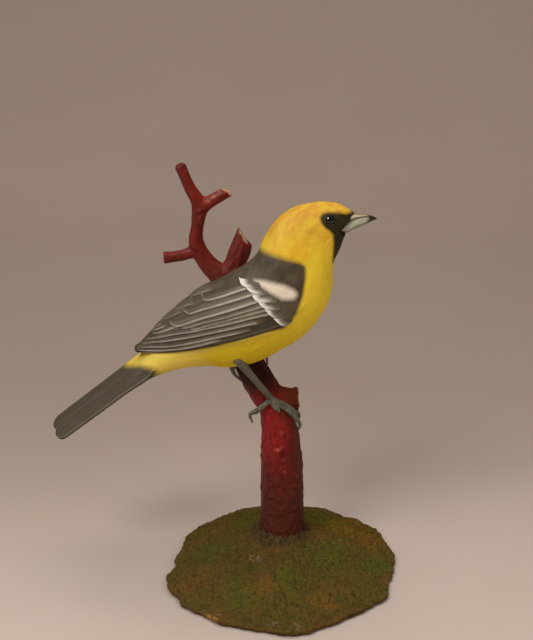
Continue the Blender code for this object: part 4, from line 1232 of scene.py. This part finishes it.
def studio():
    """Pale sweep, soft lights and the camera."""
    bend = [pi * (share - 0.5) for share in np.linspace(0, 1, 60)[30:]]
    rows = [(-1.6 + share * 4.4, 0.0) for share in np.linspace(0, 1, 60)[:30]]
    rows += [(0.6 + 0.9 * sin(angle), 0.9 - 0.9 * cos(angle)) for angle in bend]
    rows += [(1.5, 0.9 + step * 0.3) for step in range(1, 6)]
    points = [(x, y, z) for y, z in rows for x in (-3.0, 3.0)]
    faces = [(2 * i, 2 * i + 1, 2 * i + 3, 2 * i + 2) for i in range(len(rows) - 1)]
    sweep = new_object("studio_sweep", points, faces)
    p = Paint("sweep_paper", roughness=0.9, specular=0.1)
    depth = p.parts(p.place())["Y"]
    # painted shade: the paper darkens from the front of the floor towards the bend, and is a little lighter
    # up the back
    p.set("Base Color", p.coats(
        p.blend(depth, -0.12, 0.26, (203, 188, 179), (163, 147, 137)),
        (depth, 0.3, 0.8, 1.0, (174, 156, 145)),
        (p.noise(p.place(), 6.0, 3.0), 0.3, 0.7, 0.12, (150, 132, 116))))
    sweep.data.materials.append(p.material)
    for name, place, size, power in LIGHTS:
        light = bpy.data.lights.new(name, "AREA")
        light.size = size
        light.energy = power
        light.color = (1.0, 0.96, 0.9)
        lamp = linked(name, light)
        lamp.location = place
        lamp.rotation_euler = (Vector((0, 0, 0.08)) - Vector(place)).to_track_quat("-Z", "Y").to_euler()
        lamp.visible_glossy = name == "catch"
        lamp.visible_diffuse = name != "catch"
    scene = bpy.context.scene
    scene.world = bpy.data.worlds.new("room")
    scene.world.use_nodes = True
    colour, strength = scene.world.node_tree.nodes["Background"].inputs[:2]
    colour.default_value = (1.0, 0.95, 0.9, 1.0)
    strength.default_value = ROOM
    scene.view_settings.view_transform = "Standard"
    view = bpy.data.cameras.new("photo_view")
    view.lens = 79
    view.sensor_width = 36
    view.clip_start = 0.01
    scene.camera = linked("photo_view", view)
    scene.camera.location = CAMERA_PLACE
    scene.camera.rotation_euler = (radians(90 - CAMERA_TILT), 0, 0)


body = dress(bird_body(), body_paint())
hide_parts("carved_bird")
flight, tertials, ridge, coverts = wing_feathers()
dress(flight, feather_paint("flight_paint", 1.0, 0.66, 0.36, 0.25, 1.1))
dress(tertials, feather_paint("tertial_paint", 1.4, 0.9, 0.6, 0.5, 2.4))
dress(ridge, feather_paint("ridge_paint", 0.9, 0.25, 0.35, 0.1, 9.0))
dress(coverts, feather_paint("covert_paint", 0.6, 0.1, 0.6, 0.1, 9.0, 0.95))
tail = tail_feathers()
note(tail, rump=rump_distance(read_points(tail)))
dress(tail, tail_paint())
for name, rows, keel, *looks in (
    ("upper_bill", UPPER_BILL, 1, (184, 174, 142), (166.4, 157.3, 128.2), (124, 108, 80), (0.55, 0.9), 0.9),
    ("lower_bill", LOWER_BILL, -1, (182, 180, 158), (164.6, 162.8, 142.7), (98, 82, 58), (0.2, 0.75), 0.25),
):
    dress(mandible(name, rows, keel), horn_paint(name + "_paint", *looks))
glass, lid = eye_glass(), lid_paint()
for name, side in (("right_eye", -1), ("left_eye", 1)):
    skin = skin_at(body, *EYE, side)
    centre = from_perch(*EYE) + (0, side * (abs(skin[1] - PERCH[1]) + EYE_BULGE - EYE_RADIUS), 0)
    globe = dress(ball(name + "_glass", centre, EYE_RADIUS), glass)
    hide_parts(name)
    dress(joined(name + "_lid", [eyelid(body, side)]), lid)
red = dress(branch(), branch_paint())
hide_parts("branch")
skin_paint = leg_paint()
near = leg("right_foot", from_perch(-0.031, 0.018, -0.066), *NEAR_HEEL, NEAR_TOES)
near = dress(near, skin_paint)
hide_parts("right_leg")
far = leg("left_foot", from_perch(-0.052, 0.006, 0.044), *FAR_HEEL, FAR_TOES)
far = dress(far, skin_paint)
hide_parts("left_leg")
mound = dress(moss_base(), moss_paint())
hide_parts("mossy_base")
studio()
